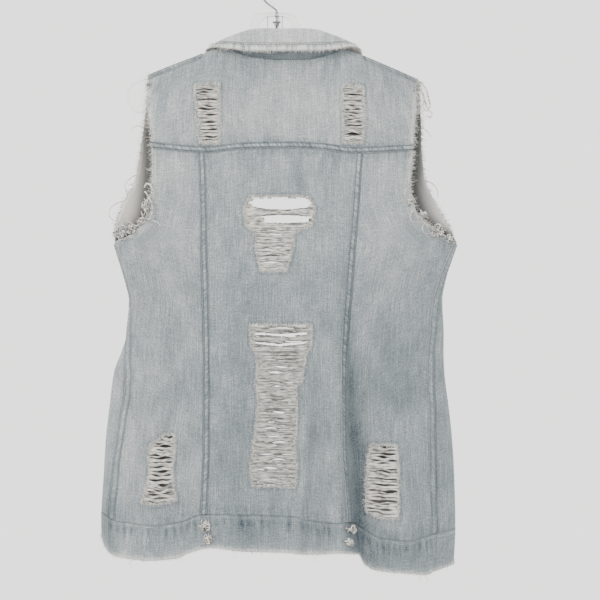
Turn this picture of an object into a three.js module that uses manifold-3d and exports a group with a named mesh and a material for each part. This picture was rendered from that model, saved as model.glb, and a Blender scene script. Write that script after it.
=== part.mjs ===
// A sleeveless denim vest on a clear hanger: cut away, ripped and frayed, hanging open at the front.
// Millimetres, +Z up. The garment's back faces +Y, its front -Y, and +X is the wearer's left.
// The origin is the inside top of the hook, where a rail bears, and a drop is a depth below it.
import * as THREE from 'three'
import { mergeVertices } from 'three/addons/utils/BufferGeometryUtils.js'
import Module from 'manifold-3d'

const wasm = await Module()
wasm.setup()

// Cloth thicknesses and the gap between pieces
const CLOTH = 1.6
const DOUBLE_CLOTH = 2.4
const SEAM_CLOTH = 1.3
const THREADS = 1.2
const GAP = 0.4

// The section is a flattened ring: these powers square its sides and flatten its faces
const SIDE_POWER = 2.6
const FACE_POWER = 2.2

// How the cloth rounds over the hanger's arms and then spreads to its full depth
const RIDGE_DEPTH = 13
const RIDGE_DROP = 22
const SPREAD_DROP = 130

// Body ring: half widths to the left and right, and depths to the back and front, at each drop
const BODY = [
  { drop: 60, left: 238, right: -264, back: 22, front: 22 },
  { drop: 250, left: 240, right: -266, back: 24, front: 27 },
  { drop: 330, left: 243, right: -268, back: 28, front: 30 },
  { drop: 368, left: 239, right: -265, back: 30, front: 32 },
  { drop: 384, left: 236, right: -262, back: 30, front: 33 },
  { drop: 417, left: 226, right: -252, back: 31, front: 34 },
  { drop: 448, left: 217, right: -244, back: 31, front: 34 },
  { drop: 468, left: 213, right: -241, back: 31, front: 34 },
  { drop: 518, left: 218, right: -243, back: 31, front: 34 },
  { drop: 544, left: 226, right: -243, back: 32, front: 35 },
  { drop: 571, left: 236, right: -244, back: 33, front: 36 },
  { drop: 622, left: 243, right: -250, back: 35, front: 38 },
  { drop: 667, left: 248, right: -255, back: 37, front: 39 },
  { drop: 713, left: 251, right: -258, back: 39, front: 41 },
  { drop: 790, left: 255, right: -260, back: 43, front: 44 },
  { drop: 862, left: 253, right: -257, back: 47, front: 46 },
]

// Line of the shoulders over the hanger, carried on across the neck
const SHOULDER = [
  { x: -262, drop: 177 }, { x: -205.6, drop: 148 }, { x: -117, drop: 109.6 }, { x: -60, drop: 87 },
  { x: 0, drop: 70 }, { x: 50, drop: 86 }, { x: 101, drop: 107.4 }, { x: 186, drop: 141 },
  { x: 243, drop: 168 },
]

// Neckline, between the points where it meets the shoulders
const NECK_LEFT = 78
const NECK_RIGHT = -98
const NECK_BACK = [
  { x: -98, drop: 101.8 }, { x: -87, drop: 110 }, { x: -70, drop: 116.5 }, { x: -38, drop: 122 },
  { x: -5, drop: 122.2 }, { x: 30, drop: 118.7 }, { x: 54, drop: 112.5 }, { x: 78, drop: 98 },
]
const NECK_FRONT = [
  { x: -98, drop: 101.8 }, { x: -94, drop: 121 }, { x: -86, drop: 144 }, { x: -70, drop: 168 },
  { x: -46, drop: 188 }, { x: 34, drop: 186 }, { x: 50, drop: 168 }, { x: 66, drop: 142 },
  { x: 74, drop: 118 }, { x: 78, drop: 98 },
]

// Raw edges of the armholes, at the back and at the front, down to the underarm
const UNDERARM = 384
const ARMHOLE_BACK = [
  { drop: 141, left: 186, right: -205.6 }, { drop: 192, left: 186, right: -202 },
  { drop: 238, left: 180, right: -198 }, { drop: 267, left: 179, right: -196 },
  { drop: 305, left: 180, right: -193 }, { drop: 338, left: 184, right: -200 },
  { drop: 361, left: 195, right: -221 }, { drop: 374, left: 211, right: -243 },
  { drop: 384, left: 236, right: -262 },
]
const ARMHOLE_FRONT = [
  { drop: 141, left: 186, right: -205.6 }, { drop: 202, left: 193, right: -211 },
  { drop: 254, left: 201, right: -213 }, { drop: 290, left: 207, right: -217 },
  { drop: 327, left: 225, right: -234 }, { drop: 350, left: 233, right: -247 },
  { drop: 368, left: 237, right: -256 }, { drop: 384, left: 236, right: -262 },
]

// Seams down the back: between centre and side panels, by place, and the side seams, by the degrees that
// they have come round from the sides to the back
const PRINCESS = [
  { drop: 250, left: 113, right: -125 }, { drop: 288, left: 110.5, right: -121.5 },
  { drop: 341, left: 109, right: -118 }, { drop: 395, left: 108, right: -113 },
  { drop: 461, left: 106, right: -108 }, { drop: 507, left: 105, right: -104 },
  { drop: 597, left: 104, right: -99 }, { drop: 667, left: 104, right: -99 },
  { drop: 738, left: 106, right: -104 }, { drop: 790, left: 108, right: -108 },
]
const SIDE_SEAM = [
  { drop: 384, left: 0, right: 0 }, { drop: 448, left: 0, right: 11 }, { drop: 505, left: 2, right: 21 },
  { drop: 545, left: 16, right: 24 }, { drop: 575, left: 26, right: 25 }, { drop: 614, left: 27, right: 27 },
  { drop: 667, left: 25.5, right: 30 }, { drop: 724, left: 22.5, right: 31.5 },
  { drop: 800, left: 21.5, right: 31.5 },
]

// Yoke seam, the hem band's seam and the raw hem, across the back and across the front
const YOKE_SEAM = [
  { x: -193, drop: 254 }, { x: -110, drop: 258 }, { x: -60, drop: 252 }, { x: -18, drop: 250.5 },
  { x: 50, drop: 252 }, { x: 100, drop: 257 }, { x: 182, drop: 250 },
]
const HEM_SEAM_BACK = [
  { x: -258, drop: 798 }, { x: -235, drop: 801 }, { x: -190, drop: 810 }, { x: -150, drop: 808 },
  { x: -125, drop: 796 }, { x: -108, drop: 785 }, { x: -50, drop: 783 }, { x: -28, drop: 776 },
  { x: 75, drop: 772.5 }, { x: 105, drop: 773.5 }, { x: 137, drop: 784 }, { x: 170, drop: 788.5 },
  { x: 225, drop: 786 }, { x: 253, drop: 775 },
]
const HEM_BACK = [
  { x: -257, drop: 850 }, { x: -226, drop: 857 }, { x: -214, drop: 861 }, { x: -190, drop: 857 },
  { x: -143, drop: 855 }, { x: -126, drop: 847 }, { x: -119, drop: 833 }, { x: -86, drop: 827 },
  { x: -48, drop: 831 }, { x: -19, drop: 827 }, { x: 40, drop: 825 }, { x: 92, drop: 820 },
  { x: 119, drop: 826 }, { x: 145, drop: 836 }, { x: 190, drop: 839 }, { x: 231, drop: 836 },
  { x: 247, drop: 826 }, { x: 254, drop: 811 },
]
const HEM_SEAM_FRONT = [
  { x: -258, drop: 798 }, { x: -200, drop: 793 }, { x: -90, drop: 786 },
  { x: 70, drop: 782 }, { x: 200, drop: 784 }, { x: 253, drop: 775 },
]
const HEM_FRONT = [
  { x: -257, drop: 850 }, { x: -200, drop: 843 }, { x: -90, drop: 837 },
  { x: 70, drop: 832 }, { x: 200, drop: 830 }, { x: 254, drop: 811 },
]

// Middling levels of the yoke seam, the hem's seam and the top of the front's sides
const YOKE_LEVEL = 251
const HEM_LEVEL = 786
const SIDE_TOP_LEVEL = 162

// Front edges, which hang apart
const FRONT_EDGE = [
  { drop: 100, left: 33, right: -45 }, { drop: 330, left: 42, right: -54 },
  { drop: 515, left: 48, right: -62 }, { drop: 700, left: 58, right: -74 },
  { drop: 850, left: 66, right: -84 },
]

// Folds: a trough has a negative depth; near and far are its widths towards +X and towards -X
const FOLDS_BACK = [
  { x0: -104, drop0: 500, x1: -124, drop1: 870, near: 13, far: 30, depth: -19 },
  { x0: -62, drop0: 570, x1: -42, drop1: 870, near: 8, far: 20, depth: -9 },
  { x0: -84, drop0: 600, x1: -84, drop1: 870, near: 14, far: 14, depth: 5 },
  { x0: -30, drop0: 256, x1: -46, drop1: 330, near: 5, far: 11, depth: -3 },
  { x0: 22, drop0: 415, x1: 14, drop1: 500, near: 9, far: 12, depth: -2.5 },
  { x0: 192, drop0: 372, x1: 138, drop1: 545, near: 16, far: 22, depth: -5 },
  { x0: 226, drop0: 560, x1: 184, drop1: 672, near: 9, far: 14, depth: -6 },
  { x0: 120, drop0: 575, x1: 158, drop1: 664, near: 10, far: 9, depth: -4 },
  { x0: 216, drop0: 742, x1: 118, drop1: 772, near: 8, far: 10, depth: -4 },
  { x0: -148, drop0: 505, x1: -206, drop1: 590, near: 14, far: 12, depth: -5 },
  { x0: -206, drop0: 590, x1: -158, drop1: 672, near: 12, far: 12, depth: -4 },
  { x0: -188, drop0: 640, x1: -186, drop1: 870, near: 22, far: 22, depth: 7 },
  { x0: 176, drop0: 700, x1: 178, drop1: 870, near: 24, far: 24, depth: 5 },
  { x0: 60, drop0: 640, x1: 66, drop1: 870, near: 26, far: 26, depth: 4 },
]
const FOLDS_FRONT = [
  { x0: 150, drop0: 330, x1: 176, drop1: 870, near: 18, far: 14, depth: -8 },
  { x0: 112, drop0: 480, x1: 120, drop1: 870, near: 14, far: 20, depth: 6 },
  { x0: 206, drop0: 420, x1: 140, drop1: 560, near: 12, far: 16, depth: -5 },
  { x0: -168, drop0: 360, x1: -190, drop1: 870, near: 14, far: 20, depth: -9 },
  { x0: -130, drop0: 520, x1: -134, drop1: 870, near: 18, far: 14, depth: 6 },
  { x0: -214, drop0: 430, x1: -150, drop1: 590, near: 15, far: 12, depth: -5 },
]

// Rips: the torn window's outline as x and drop, and the open gaps between its loose threads
const RIPS = [
  { name: 'rip_threads_yoke_left', panel: 'back_yoke',
    outline: [[117, 160], [84, 158], [84, 241], [109, 241], [113, 200]], gaps: [] },
  { name: 'rip_threads_yoke_right', panel: 'back_yoke',
    outline: [[-97, 160], [-124, 162], [-125, 205], [-123, 241], [-98, 241]], gaps: [] },
  { name: 'rip_threads_upper', panel: 'back_centre_panel',
    outline: [[36, 321], [44, 336], [42, 360], [29, 371], [28, 390], [21, 425], [-14, 425],
      [-23, 390], [-23, 371], [-50, 360], [-54, 336], [-46, 321]],
    gaps: [[[38, 317], [31, 336], [8, 338.5], [-20, 338.5], [-43, 337], [-50, 317]],
      [[19, 348], [-2, 346.5], [-30, 347], [-48, 349], [-44, 357], [-10, 358], [14, 356]]] },
  { name: 'rip_threads_lower', panel: 'back_centre_panel',
    outline: [[36, 505], [34, 532], [25, 548], [27, 594], [24, 614], [31, 678], [35, 708],
      [33, 731], [-26, 733], [-28, 708], [-25, 678], [-28, 640], [-27, 590], [-36, 582],
      [-41, 547], [-49, 530], [-49, 505]],
    gaps: [[[30, 513], [-6, 515], [-44, 513], [-42, 519], [-6, 521], [28, 519]],
      [[28, 526], [-6, 528], [-42, 525], [-38, 532], [-6, 535.5], [24, 533]]] },
  { name: 'rip_threads_low_left', panel: 'back_side_panel_left',
    outline: [[160, 663], [147, 662], [146, 676], [149, 704], [148, 731], [143, 752], [166, 759],
      [191, 757], [182, 731], [180, 713], [182, 694], [180, 677]], gaps: [] },
  { name: 'rip_threads_low_right', panel: 'back_side_panel_right',
    outline: [[-137, 677], [-133, 696], [-132, 718], [-130, 736], [-130, 771], [-150, 778],
      [-173, 778], [-173, 700], [-171, 677]], gaps: [] },
]
const RUNG_PITCH = 10
const RUNG_RELIEF = 1.4
const RUNG_COLUMNS = 2
const WINDOW_CLEARANCE = 0.45
const WINDOW_NEAR = 3
const WINDOW_DEPTH = 90

// Widths of the felled seams and of the bands down the front edges
const FRONT_BAND_WIDTH = 30
const SEAM_WIDTH = 9

// Collar: half of it, from the back of the neck round to its front end, across from the neck's middle.
// The roll is the line that it folds on and the edge is the frayed edge of the fall.
const NECK_MIDDLE = -10
const NECK_HALF = 88
const COLLAR_LIFT = 1.2
const COLLAR_INSET = 3.4
const ROLL_REACH = 9
const ROLL_RISE = 5
const COLLAR = [
  { x: 0, side: 1, rollX: 0, rollY: 20, rollDrop: 80.5, edgeX: 0, edgeY: 31, edgeDrop: 111 },
  { x: 24, side: 1, rollX: 24, rollY: 19.5, rollDrop: 80, edgeX: 26, edgeY: 30.5, edgeDrop: 111 },
  { x: 46, side: 1, rollX: 47, rollY: 18, rollDrop: 81.5, edgeX: 54, edgeY: 28.5, edgeDrop: 110 },
  { x: 66, side: 1, rollX: 66, rollY: 12, rollDrop: 87, edgeX: 82, edgeY: 23, edgeDrop: 106 },
  { x: 80, side: 1, rollX: 78, rollY: 5, rollDrop: 91, edgeX: 101, edgeY: 11, edgeDrop: 101.5 },
  { x: 88, side: 1, rollX: 83, rollY: -3, rollDrop: 93, edgeX: 112, edgeY: -3, edgeDrop: 102 },
  { x: 84, side: -1, rollX: 79, rollY: -17, rollDrop: 107, edgeX: 115, edgeY: -22, edgeDrop: 120 },
  { x: 74, side: -1, rollX: 69, rollY: -25, rollDrop: 131, edgeX: 109, edgeY: -31, edgeDrop: 154 },
  { x: 60, side: -1, rollX: 56, rollY: -29, rollDrop: 154, edgeX: 101, edgeY: -36, edgeDrop: 184 },
  { x: 44, side: -1, rollX: 40, rollY: -32, rollDrop: 171, edgeX: 90, edgeY: -38, edgeDrop: 207 },
]

// Fray reaches past the raw edges by these widths, thread by thread
const ARMHOLE_FRAY = [4, 8, 3, 7, 5, 10, 4, 6, 9, 3, 8, 5]
const HEM_FRAY = [3, 5, 2.5, 4, 6, 3, 5, 2, 4.5, 3.5]
const COLLAR_FRAY = [2.5, 4, 2, 3.5, 5, 2.5, 3]
const FRAY_CLOTH = 1.4
const FRAY_END = 1

// Buttons of the left front band
const BUTTON_DIAMETER = 17
const BUTTON_HEIGHT = 6.5
const BUTTON_DROPS = [215, 330, 445, 560, 675, 815]

// Hanger: a clear plate with rounded ends, an open neck block and a wire hook
const PLATE = 8
const PLATE_BEVEL = 2.6
const ARM_SEAT = 3.4
const ARM_HEIGHT = 24
const WIRE = 2.9
const WIRE_SIDES = 6
const HOOK_RADIUS = 21.5
const BEND_DROP = 46.7
const FERRULE_RADIUS = 2.6
const FERRULE_TOP_DROP = 49.3
const BLOCK_TOP_DROP = 50.4
const TOP_BAR = 6
const WINDOW_BOTTOM_DROP = 84

const DENIM = { color: 0xb9c5cc, roughness: 0.93, metalness: 0 }
const DENIM_SEAM = { color: 0x9fb0bb, roughness: 0.92, metalness: 0 }
const WEFT = { color: 0xd9dad4, roughness: 0.96, metalness: 0 }
const CLEAR_PLASTIC = { color: 0xe6eaec, roughness: 0.12, metalness: 0, transparent: true, opacity: 0.4 }
const STEEL = { color: 0x55565a, roughness: 0.35, metalness: 0.9 }
const BUTTON_METAL = { color: 0xa9a49b, roughness: 0.4, metalness: 0.85 }

const group = new THREE.Group()

// Adds a closed shape as a named piece with its own finish
function addPiece(name, geometry, finish) {
  const mesh = new THREE.Mesh(geometry, new THREE.MeshStandardMaterial(finish))
  mesh.name = name
  group.add(mesh)
  return mesh
}

// A smooth curve through a table: one column's value wherever the key column stands
function curve(rows, key, value) {
  const at = rows.map(row => row[key])
  const values = rows.map(row => row[value])
  const last = rows.length - 1
  const slope = i => (values[i + 1] - values[i]) / (at[i + 1] - at[i])
  const tangents = values.map((_, i) => {
    if (i === 0) return slope(0)
    if (i === last) return slope(last - 1)
    const before = slope(i - 1)
    const after = slope(i)
    return before * after <= 0 ? 0 : 2 * before * after / (before + after)
  })
  return t => {
    if (t <= at[0]) return values[0]
    if (t >= at[last]) return values[last]
    let i = 0
    while (t > at[i + 1]) i++
    const width = at[i + 1] - at[i]
    const s = (t - at[i]) / width
    const rise = values[i + 1] - values[i]
    const a = width * tangents[i] - rise
    const b = rise - width * tangents[i + 1]
    return values[i] + s * rise + s * (1 - s) * (a * (1 - s) + b * s)
  }
}

// Pairs of curves by side, for tables with a left and a right column
const pair = rows => ({ left: curve(rows, 'drop', 'left'), right: curve(rows, 'drop', 'right') })

const bodyEdge = pair(BODY)
const bodyBack = curve(BODY, 'drop', 'back')
const bodyFront = curve(BODY, 'drop', 'front')
const shoulderDrop = curve(SHOULDER, 'x', 'drop')
const armholeBack = pair(ARMHOLE_BACK)
const armholeFront = pair(ARMHOLE_FRONT)
const princess = pair(PRINCESS)
const sideSeam = pair(SIDE_SEAM)
const frontEdge = pair(FRONT_EDGE)
const neckBack = curve(NECK_BACK, 'x', 'drop')
const neckFront = curve(NECK_FRONT, 'x', 'drop')
const yokeSeam = curve(YOKE_SEAM, 'x', 'drop')
const hemSeamBack = curve(HEM_SEAM_BACK, 'x', 'drop')
const hemSeamFront = curve(HEM_SEAM_FRONT, 'x', 'drop')
const hemBack = curve(HEM_BACK, 'x', 'drop')
const hemFront = curve(HEM_FRONT, 'x', 'drop')

const clamp = (value, low, high) => Math.min(high, Math.max(low, value))
const lerp = (a, b, t) => a + (b - a) * t
const smooth = t => { const s = clamp(t, 0, 1); return s * s * (3 - 2 * s) }
const signedPower = (value, power) => Math.sign(value) * Math.abs(value) ** power
const onNeck = x => x < NECK_LEFT && x > NECK_RIGHT
const yokeTop = x => onNeck(x) ? neckBack(x) : shoulderDrop(x)
const frontTop = x => onNeck(x) ? neckFront(x) : shoulderDrop(x)
const hemSeam = (x, side) => side > 0 ? hemSeamBack(x) : hemSeamFront(x)
const hem = (x, side) => side > 0 ? hemBack(x) : hemFront(x)

// Depth of a fold at a place: a soft trough or ridge along a line, fading in at its upper end
function foldDepth(folds, x, drop) {
  let depth = 0
  for (const fold of folds) {
    const runX = fold.x1 - fold.x0
    const runDrop = fold.drop1 - fold.drop0
    const length = Math.hypot(runX, runDrop)
    const along = ((x - fold.x0) * runX + (drop - fold.drop0) * runDrop) / length
    const across = ((x - fold.x0) * runDrop - (drop - fold.drop0) * runX) / length
    const width = across > 0 ? fold.near : fold.far
    const fade = smooth(along / (length * 0.45) + 0.25) * smooth((length - along) / 40 + 1)
    depth += fold.depth * fade * Math.exp(-((across / width) ** 2))
  }
  return depth
}

// Share of the body's depth at a place below the shoulder line, rounded over the hanger
function ridgeDepth(full, below) {
  const round = Math.sqrt(1 - (1 - clamp(below / RIDGE_DROP, 0, 1)) ** 2)
  return RIDGE_DEPTH * round + (full - RIDGE_DEPTH) * smooth(below / SPREAD_DROP)
}

// A point of the cloth's outer face: the angle is 0 at the left side, 90 degrees at the back
function skin(angle, drop) {
  const left = bodyEdge.left(drop)
  const right = bodyEdge.right(drop)
  const x = (left + right) / 2 + (left - right) / 2 * signedPower(Math.cos(angle), 2 / SIDE_POWER)
  const face = Math.sin(angle)
  const isBack = face >= 0
  const full = isBack ? bodyBack(drop) : bodyFront(drop)
  const roundness = Math.abs(face) ** (2 / FACE_POWER)
  const folds = foldDepth(isBack ? FOLDS_BACK : FOLDS_FRONT, x, drop) * smooth(Math.abs(face) * 1.6)
  const depth = ridgeDepth(full, drop - shoulderDrop(x)) * roundness + folds
  return new THREE.Vector3(x, Math.sign(face) * (depth + GAP / 2), -drop)
}

// The angle of the ring at which the back (side 1) or the front (side -1) stands at a given x
function angleAt(x, drop, side) {
  const left = bodyEdge.left(drop)
  const right = bodyEdge.right(drop)
  const share = clamp((x - (left + right) / 2) / ((left - right) / 2), -1, 1)
  return side * Math.acos(signedPower(share, SIDE_POWER / 2))
}

// Outward direction of the cloth at a place; straight up along the top of the shoulders
function outward(angle, drop) {
  const here = skin(angle, drop)
  const below = drop - shoulderDrop(here.x)
  if (below < 0.8) return new THREE.Vector3(0, 0, 1)
  const turn = 0.012
  const step = Math.min(1.5, below * 0.4)
  const across = skin(angle + turn, drop).sub(skin(angle - turn, drop))
  const down = skin(angle, drop + step).sub(skin(angle, drop - step))
  return down.cross(across).normalize()
}

// Shifts a ring angle along the cloth by a distance in millimetres
function shiftAngle(angle, drop, distance) {
  const turn = 0.01
  const speed = skin(angle + turn, drop).distanceTo(skin(angle - turn, drop)) / (2 * turn)
  return angle + distance / speed
}

// A closed wall from two grids of points, an outer and an inner, each a list of rows
function wallFromGrids(outer, inner) {
  const rows = outer.length
  const cols = outer[0].length
  const positions = [...outer.flat(), ...inner.flat()].flatMap(p => [p.x, p.y, p.z])
  const at = (layer, j, i) => layer * rows * cols + j * cols + i
  const triangles = []
  const quad = (a, b, c, d) => triangles.push(a, b, c, a, c, d)
  for (let j = 0; j < rows - 1; j++) {
    for (let i = 0; i < cols - 1; i++) {
      quad(at(0, j, i), at(0, j + 1, i), at(0, j + 1, i + 1), at(0, j, i + 1))
      quad(at(1, j, i), at(1, j, i + 1), at(1, j + 1, i + 1), at(1, j + 1, i))
    }
    quad(at(0, j, 0), at(1, j, 0), at(1, j + 1, 0), at(0, j + 1, 0))
    quad(at(0, j, cols - 1), at(0, j + 1, cols - 1), at(1, j + 1, cols - 1), at(1, j, cols - 1))
  }
  for (let i = 0; i < cols - 1; i++) {
    quad(at(0, 0, i), at(0, 0, i + 1), at(1, 0, i + 1), at(1, 0, i))
    quad(at(0, rows - 1, i), at(1, rows - 1, i), at(1, rows - 1, i + 1), at(0, rows - 1, i + 1))
  }
  const geometry = new THREE.BufferGeometry()
  geometry.setAttribute('position', new THREE.Float32BufferAttribute(positions, 3))
  geometry.setIndex(facesOutward(positions, triangles) ? triangles : triangles.reverse())
  return geometry
}

// Whether a closed mesh encloses its volume with its faces pointing out
function facesOutward(positions, triangles) {
  const corner = i => new THREE.Vector3().fromArray(positions, 3 * i)
  let volume = 0
  for (let i = 0; i < triangles.length; i += 3) {
    const [a, b, c] = [0, 1, 2].map(k => corner(triangles[i + k]))
    volume += a.dot(b.cross(c))
  }
  return volume > 0
}

// A panel's grid of outer points with their outward directions. Its two upright edges are ring angles
// by drop, its top and bottom are drops by x and side, and cols and rows are shares of the way across.
// A column may also stand at a width in millimetres from the start or from the end.
const fromStart = width => ({ width, isStart: true })
const fromEnd = width => ({ width, isStart: false })
function columnAngle(column, start, end, drop) {
  if (typeof column === 'number') return lerp(start, end, column)
  const turn = Math.sign(end - start)
  if (column.isStart) return shiftAngle(start, drop, turn * column.width)
  return shiftAngle(end, drop, -turn * column.width)
}
function panelGrid({ start, end, top, bottom, cols, rows }) {
  const points = []
  const normals = []
  const angles = []
  for (const v of rows) {
    const pointRow = []
    const normalRow = []
    const angleRow = []
    for (const u of cols) {
      let drop = (UNDERARM + HEM_LEVEL) / 2
      let angle = columnAngle(u, start(drop), end(drop), drop)
      for (let pass = 0; pass < 6; pass++) {
        const x = skin(angle, drop).x
        const side = Math.sin(angle) >= 0 ? 1 : -1
        drop = lerp(top(x, side), bottom(x, side), v)
        angle = columnAngle(u, start(drop), end(drop), drop)
      }
      if (u === 0) angle = shiftAngle(angle, drop, Math.sign(end(drop) - start(drop)) * GAP / 2)
      if (u === 1) angle = shiftAngle(angle, drop, Math.sign(start(drop) - end(drop)) * GAP / 2)
      pointRow.push(skin(angle, drop))
      normalRow.push(outward(angle, drop))
      angleRow.push(angle)
    }
    points.push(pointRow)
    normals.push(normalRow)
    angles.push(angleRow)
  }
  return { points, normals, angles }
}

// A grid moved along its outward directions
const moveOut = ({ points, normals }, distance) =>
  points.map((row, j) => row.map((p, i) => p.clone().addScaledVector(normals[j][i], distance)))

// Part of a panel's grid, by row and column
const partOf = ({ points, normals }, j0, j1, i0, i1) => ({
  points: points.slice(j0, j1 + 1).map(row => row.slice(i0, i1 + 1)),
  normals: normals.slice(j0, j1 + 1).map(row => row.slice(i0, i1 + 1)),
})

const clothWall = (grid, thickness) => wallFromGrids(grid.points, moveOut(grid, -thickness))
const onTop = (grid, thickness) => wallFromGrids(moveOut(grid, GAP + thickness), moveOut(grid, GAP))

// Shares from 0 to 1 in even steps, and those of them that keep clear of the two ends
const even = count => Array.from({ length: count + 1 }, (_, i) => i / count)
const innerShares = count => even(count).slice(1, -1)

const panels = {}
function addPanel(name, grid, thickness) {
  panels[name] = { grid, geometry: clothWall(grid, thickness) }
}

const gridOf = name => panels[name].grid
const toRad = degrees => degrees * Math.PI / 180
const BACK_SIDE = 1
const FRONT_SIDE = -1
const atX = (xOf, side) => drop => angleAt(xOf(drop), drop, side)

// Back yoke, from the armholes in: its top rows crowd over the hanger and its last is the seam's height
const YOKE_COLS = 20
const SHOULDER_COLS = 5
const YOKE_ROWS = [0, 0.012, 0.05, 0.12, 0.24, 0.4, 0.56, 0.7, 0.82, 0.925, 1]
const yokeGrid = panelGrid({
  start: atX(armholeBack.left, BACK_SIDE),
  end: atX(armholeBack.right, BACK_SIDE),
  top: x => yokeTop(x),
  bottom: x => yokeSeam(x) - GAP / 2,
  cols: even(YOKE_COLS),
  rows: YOKE_ROWS,
})
addPanel('back_yoke', yokeGrid, CLOTH)

// Rows shared by the back's panels, from the yoke seam to the hem band
const BACK_ROWS = [0, 0.04, 0.09, 0.14, 0.18, 0.212, 0.235, 0.255, 0.29, 0.335, 0.385, 0.435, 0.485, 0.535,
  0.585, 0.635, 0.685, 0.735, 0.785, 0.835, 0.885, 0.93, 0.97, 1]
const FRONT_ROWS = [0, 0.006, 0.022, 0.05, 0.09, 0.14, 0.19, 0.24, 0.285, 0.315,
  ...BACK_ROWS.filter(v => v > 0.23).map(v =>
    (lerp(YOKE_LEVEL, HEM_LEVEL, v) - SIDE_TOP_LEVEL) / (HEM_LEVEL - SIDE_TOP_LEVEL))]
const HEM_ROWS = [0, 0.34, 0.68, 1]
const FRONT_SHARE = 0.77
const HEM_GAP = 0.4
const backTop = x => yokeSeam(x) + GAP / 2
const hemTop = (x, side) => hemSeam(x, side) + HEM_GAP
const backBottom = (x, side) => hemSeam(x, side) - HEM_GAP

const centreGrid = panelGrid({
  start: atX(princess.left, BACK_SIDE),
  end: atX(princess.right, BACK_SIDE),
  top: backTop,
  bottom: backBottom,
  cols: [0, fromStart(SEAM_WIDTH), ...innerShares(10), fromEnd(SEAM_WIDTH), 1],
  rows: BACK_ROWS,
})
addPanel('back_centre_panel', centreGrid, CLOTH)

// Ring angles of the side seams, and the outer edge of a back side panel: armhole, then side seam
const seamAngle = {
  left: drop => toRad(sideSeam.left(drop)),
  right: drop => Math.PI - toRad(sideSeam.right(drop)),
}
const sideOuter = hand => drop =>
  drop < UNDERARM ? angleAt(armholeBack[hand](drop), drop, BACK_SIDE) : seamAngle[hand](drop)

// Ring angle of a place on the front, counted on past the side that it is nearest to
const frontAngle = (x, drop, hand) => angleAt(x, drop, FRONT_SIDE) + (hand === 'right' ? 2 * Math.PI : 0)

// Outer edge of a front panel: the armhole's edge, and below it the side seam, a little round the back
const frontOuter = hand => drop => drop < UNDERARM
  ? frontAngle(armholeFront[hand](drop), drop, hand)
  : seamAngle[hand](drop)

const HANDS = ['left', 'right']
for (const hand of HANDS) {
  addPanel(`back_side_panel_${hand}`, panelGrid({
    start: sideOuter(hand),
    end: atX(princess[hand], BACK_SIDE),
    top: backTop,
    bottom: backBottom,
    cols: [0, fromStart(SEAM_WIDTH), fromStart(2 * SEAM_WIDTH), 0.5, 0.6, 0.7, 0.8, 0.9, 1],
    rows: BACK_ROWS,
  }), CLOTH)
  addPanel(`front_panel_${hand}`, panelGrid({
    start: frontOuter(hand),
    end: drop => frontAngle(frontEdge[hand](drop), drop, hand),
    top: frontTop,
    bottom: backBottom,
    cols: [...even(7).map(u => FRONT_SHARE * u), fromEnd(FRONT_BAND_WIDTH), 1],
    rows: FRONT_ROWS,
  }), CLOTH)
  addPanel(`hem_band_front_${hand}`, panelGrid({
    start: frontOuter(hand),
    end: drop => frontAngle(frontEdge[hand](drop), drop, hand),
    top: hemTop,
    bottom: hem,
    cols: [...even(7).map(u => FRONT_SHARE * u), fromEnd(FRONT_BAND_WIDTH), 1],
    rows: HEM_ROWS,
  }), DOUBLE_CLOTH)
}

// The hem band's columns stand under those of the panels that it hangs from
const hemAngles = [
  ...gridOf('back_side_panel_left').angles.at(-1),
  ...gridOf('back_centre_panel').angles.at(-1).slice(1),
  ...gridOf('back_side_panel_right').angles.at(-1).slice(0, -1).reverse(),
]
const hemShare = angle => (angle - hemAngles[0]) / (hemAngles.at(-1) - hemAngles[0])
addPanel('hem_band_back', panelGrid({
  start: seamAngle.left,
  end: seamAngle.right,
  top: hemTop,
  bottom: hem,
  cols: hemAngles.map(hemShare),
  rows: HEM_ROWS,
}), DOUBLE_CLOTH)

// A closed mesh as a solid that can be cut, and the solid's faces as a mesh again
function toSolid(geometry) {
  const bare = geometry.clone()
  bare.deleteAttribute('normal')
  bare.deleteAttribute('uv')
  const merged = mergeVertices(bare, 1e-4)
  return new wasm.Manifold(new wasm.Mesh({
    numProp: 3,
    vertProperties: new Float32Array(merged.attributes.position.array),
    triVerts: new Uint32Array(merged.index.array),
  }))
}
function toGeometry(solid) {
  const mesh = solid.getMesh()
  const geometry = new THREE.BufferGeometry()
  geometry.setAttribute('position', new THREE.BufferAttribute(mesh.vertProperties, 3))
  geometry.setIndex(new THREE.BufferAttribute(mesh.triVerts, 1))
  return geometry
}

// The biggest of a solid's separate bodies
const biggest = solid => solid.decompose().sort((a, b) => b.volume() - a.volume())[0]

// An outline of x and drop pairs moved outwards all round by a distance, its corners kept sharp
function grown(outline, distance) {
  const count = outline.length
  const turn = outline.reduce((sum, [x, drop], i) => {
    const [nextX, nextDrop] = outline[(i + 1) % count]
    return sum + x * nextDrop - nextX * drop
  }, 0)
  const away = Math.sign(turn)
  const normal = i => {
    const [x, drop] = outline[i]
    const [nextX, nextDrop] = outline[(i + 1) % count]
    const length = Math.hypot(nextX - x, nextDrop - drop)
    return [away * (nextDrop - drop) / length, -away * (nextX - x) / length]
  }
  return outline.map(([x, drop], i) => {
    const before = normal((i + count - 1) % count)
    const after = normal(i)
    const spread = 1 + before[0] * after[0] + before[1] * after[1]
    return [x + distance * (before[0] + after[0]) / spread, drop + distance * (before[1] + after[1]) / spread]
  })
}

// A straight prism through the back's cloth, from an outline of x and drop pairs
function windowPrism(outline) {
  const shape = new THREE.Shape(outline.map(([x, drop]) => new THREE.Vector2(x, -drop)))
  const prism = new THREE.ExtrudeGeometry(shape, { depth: WINDOW_DEPTH, bevelEnabled: false })
  prism.rotateX(Math.PI / 2).translate(0, WINDOW_DEPTH + WINDOW_NEAR, 0)
  return toSolid(prism)
}

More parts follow.
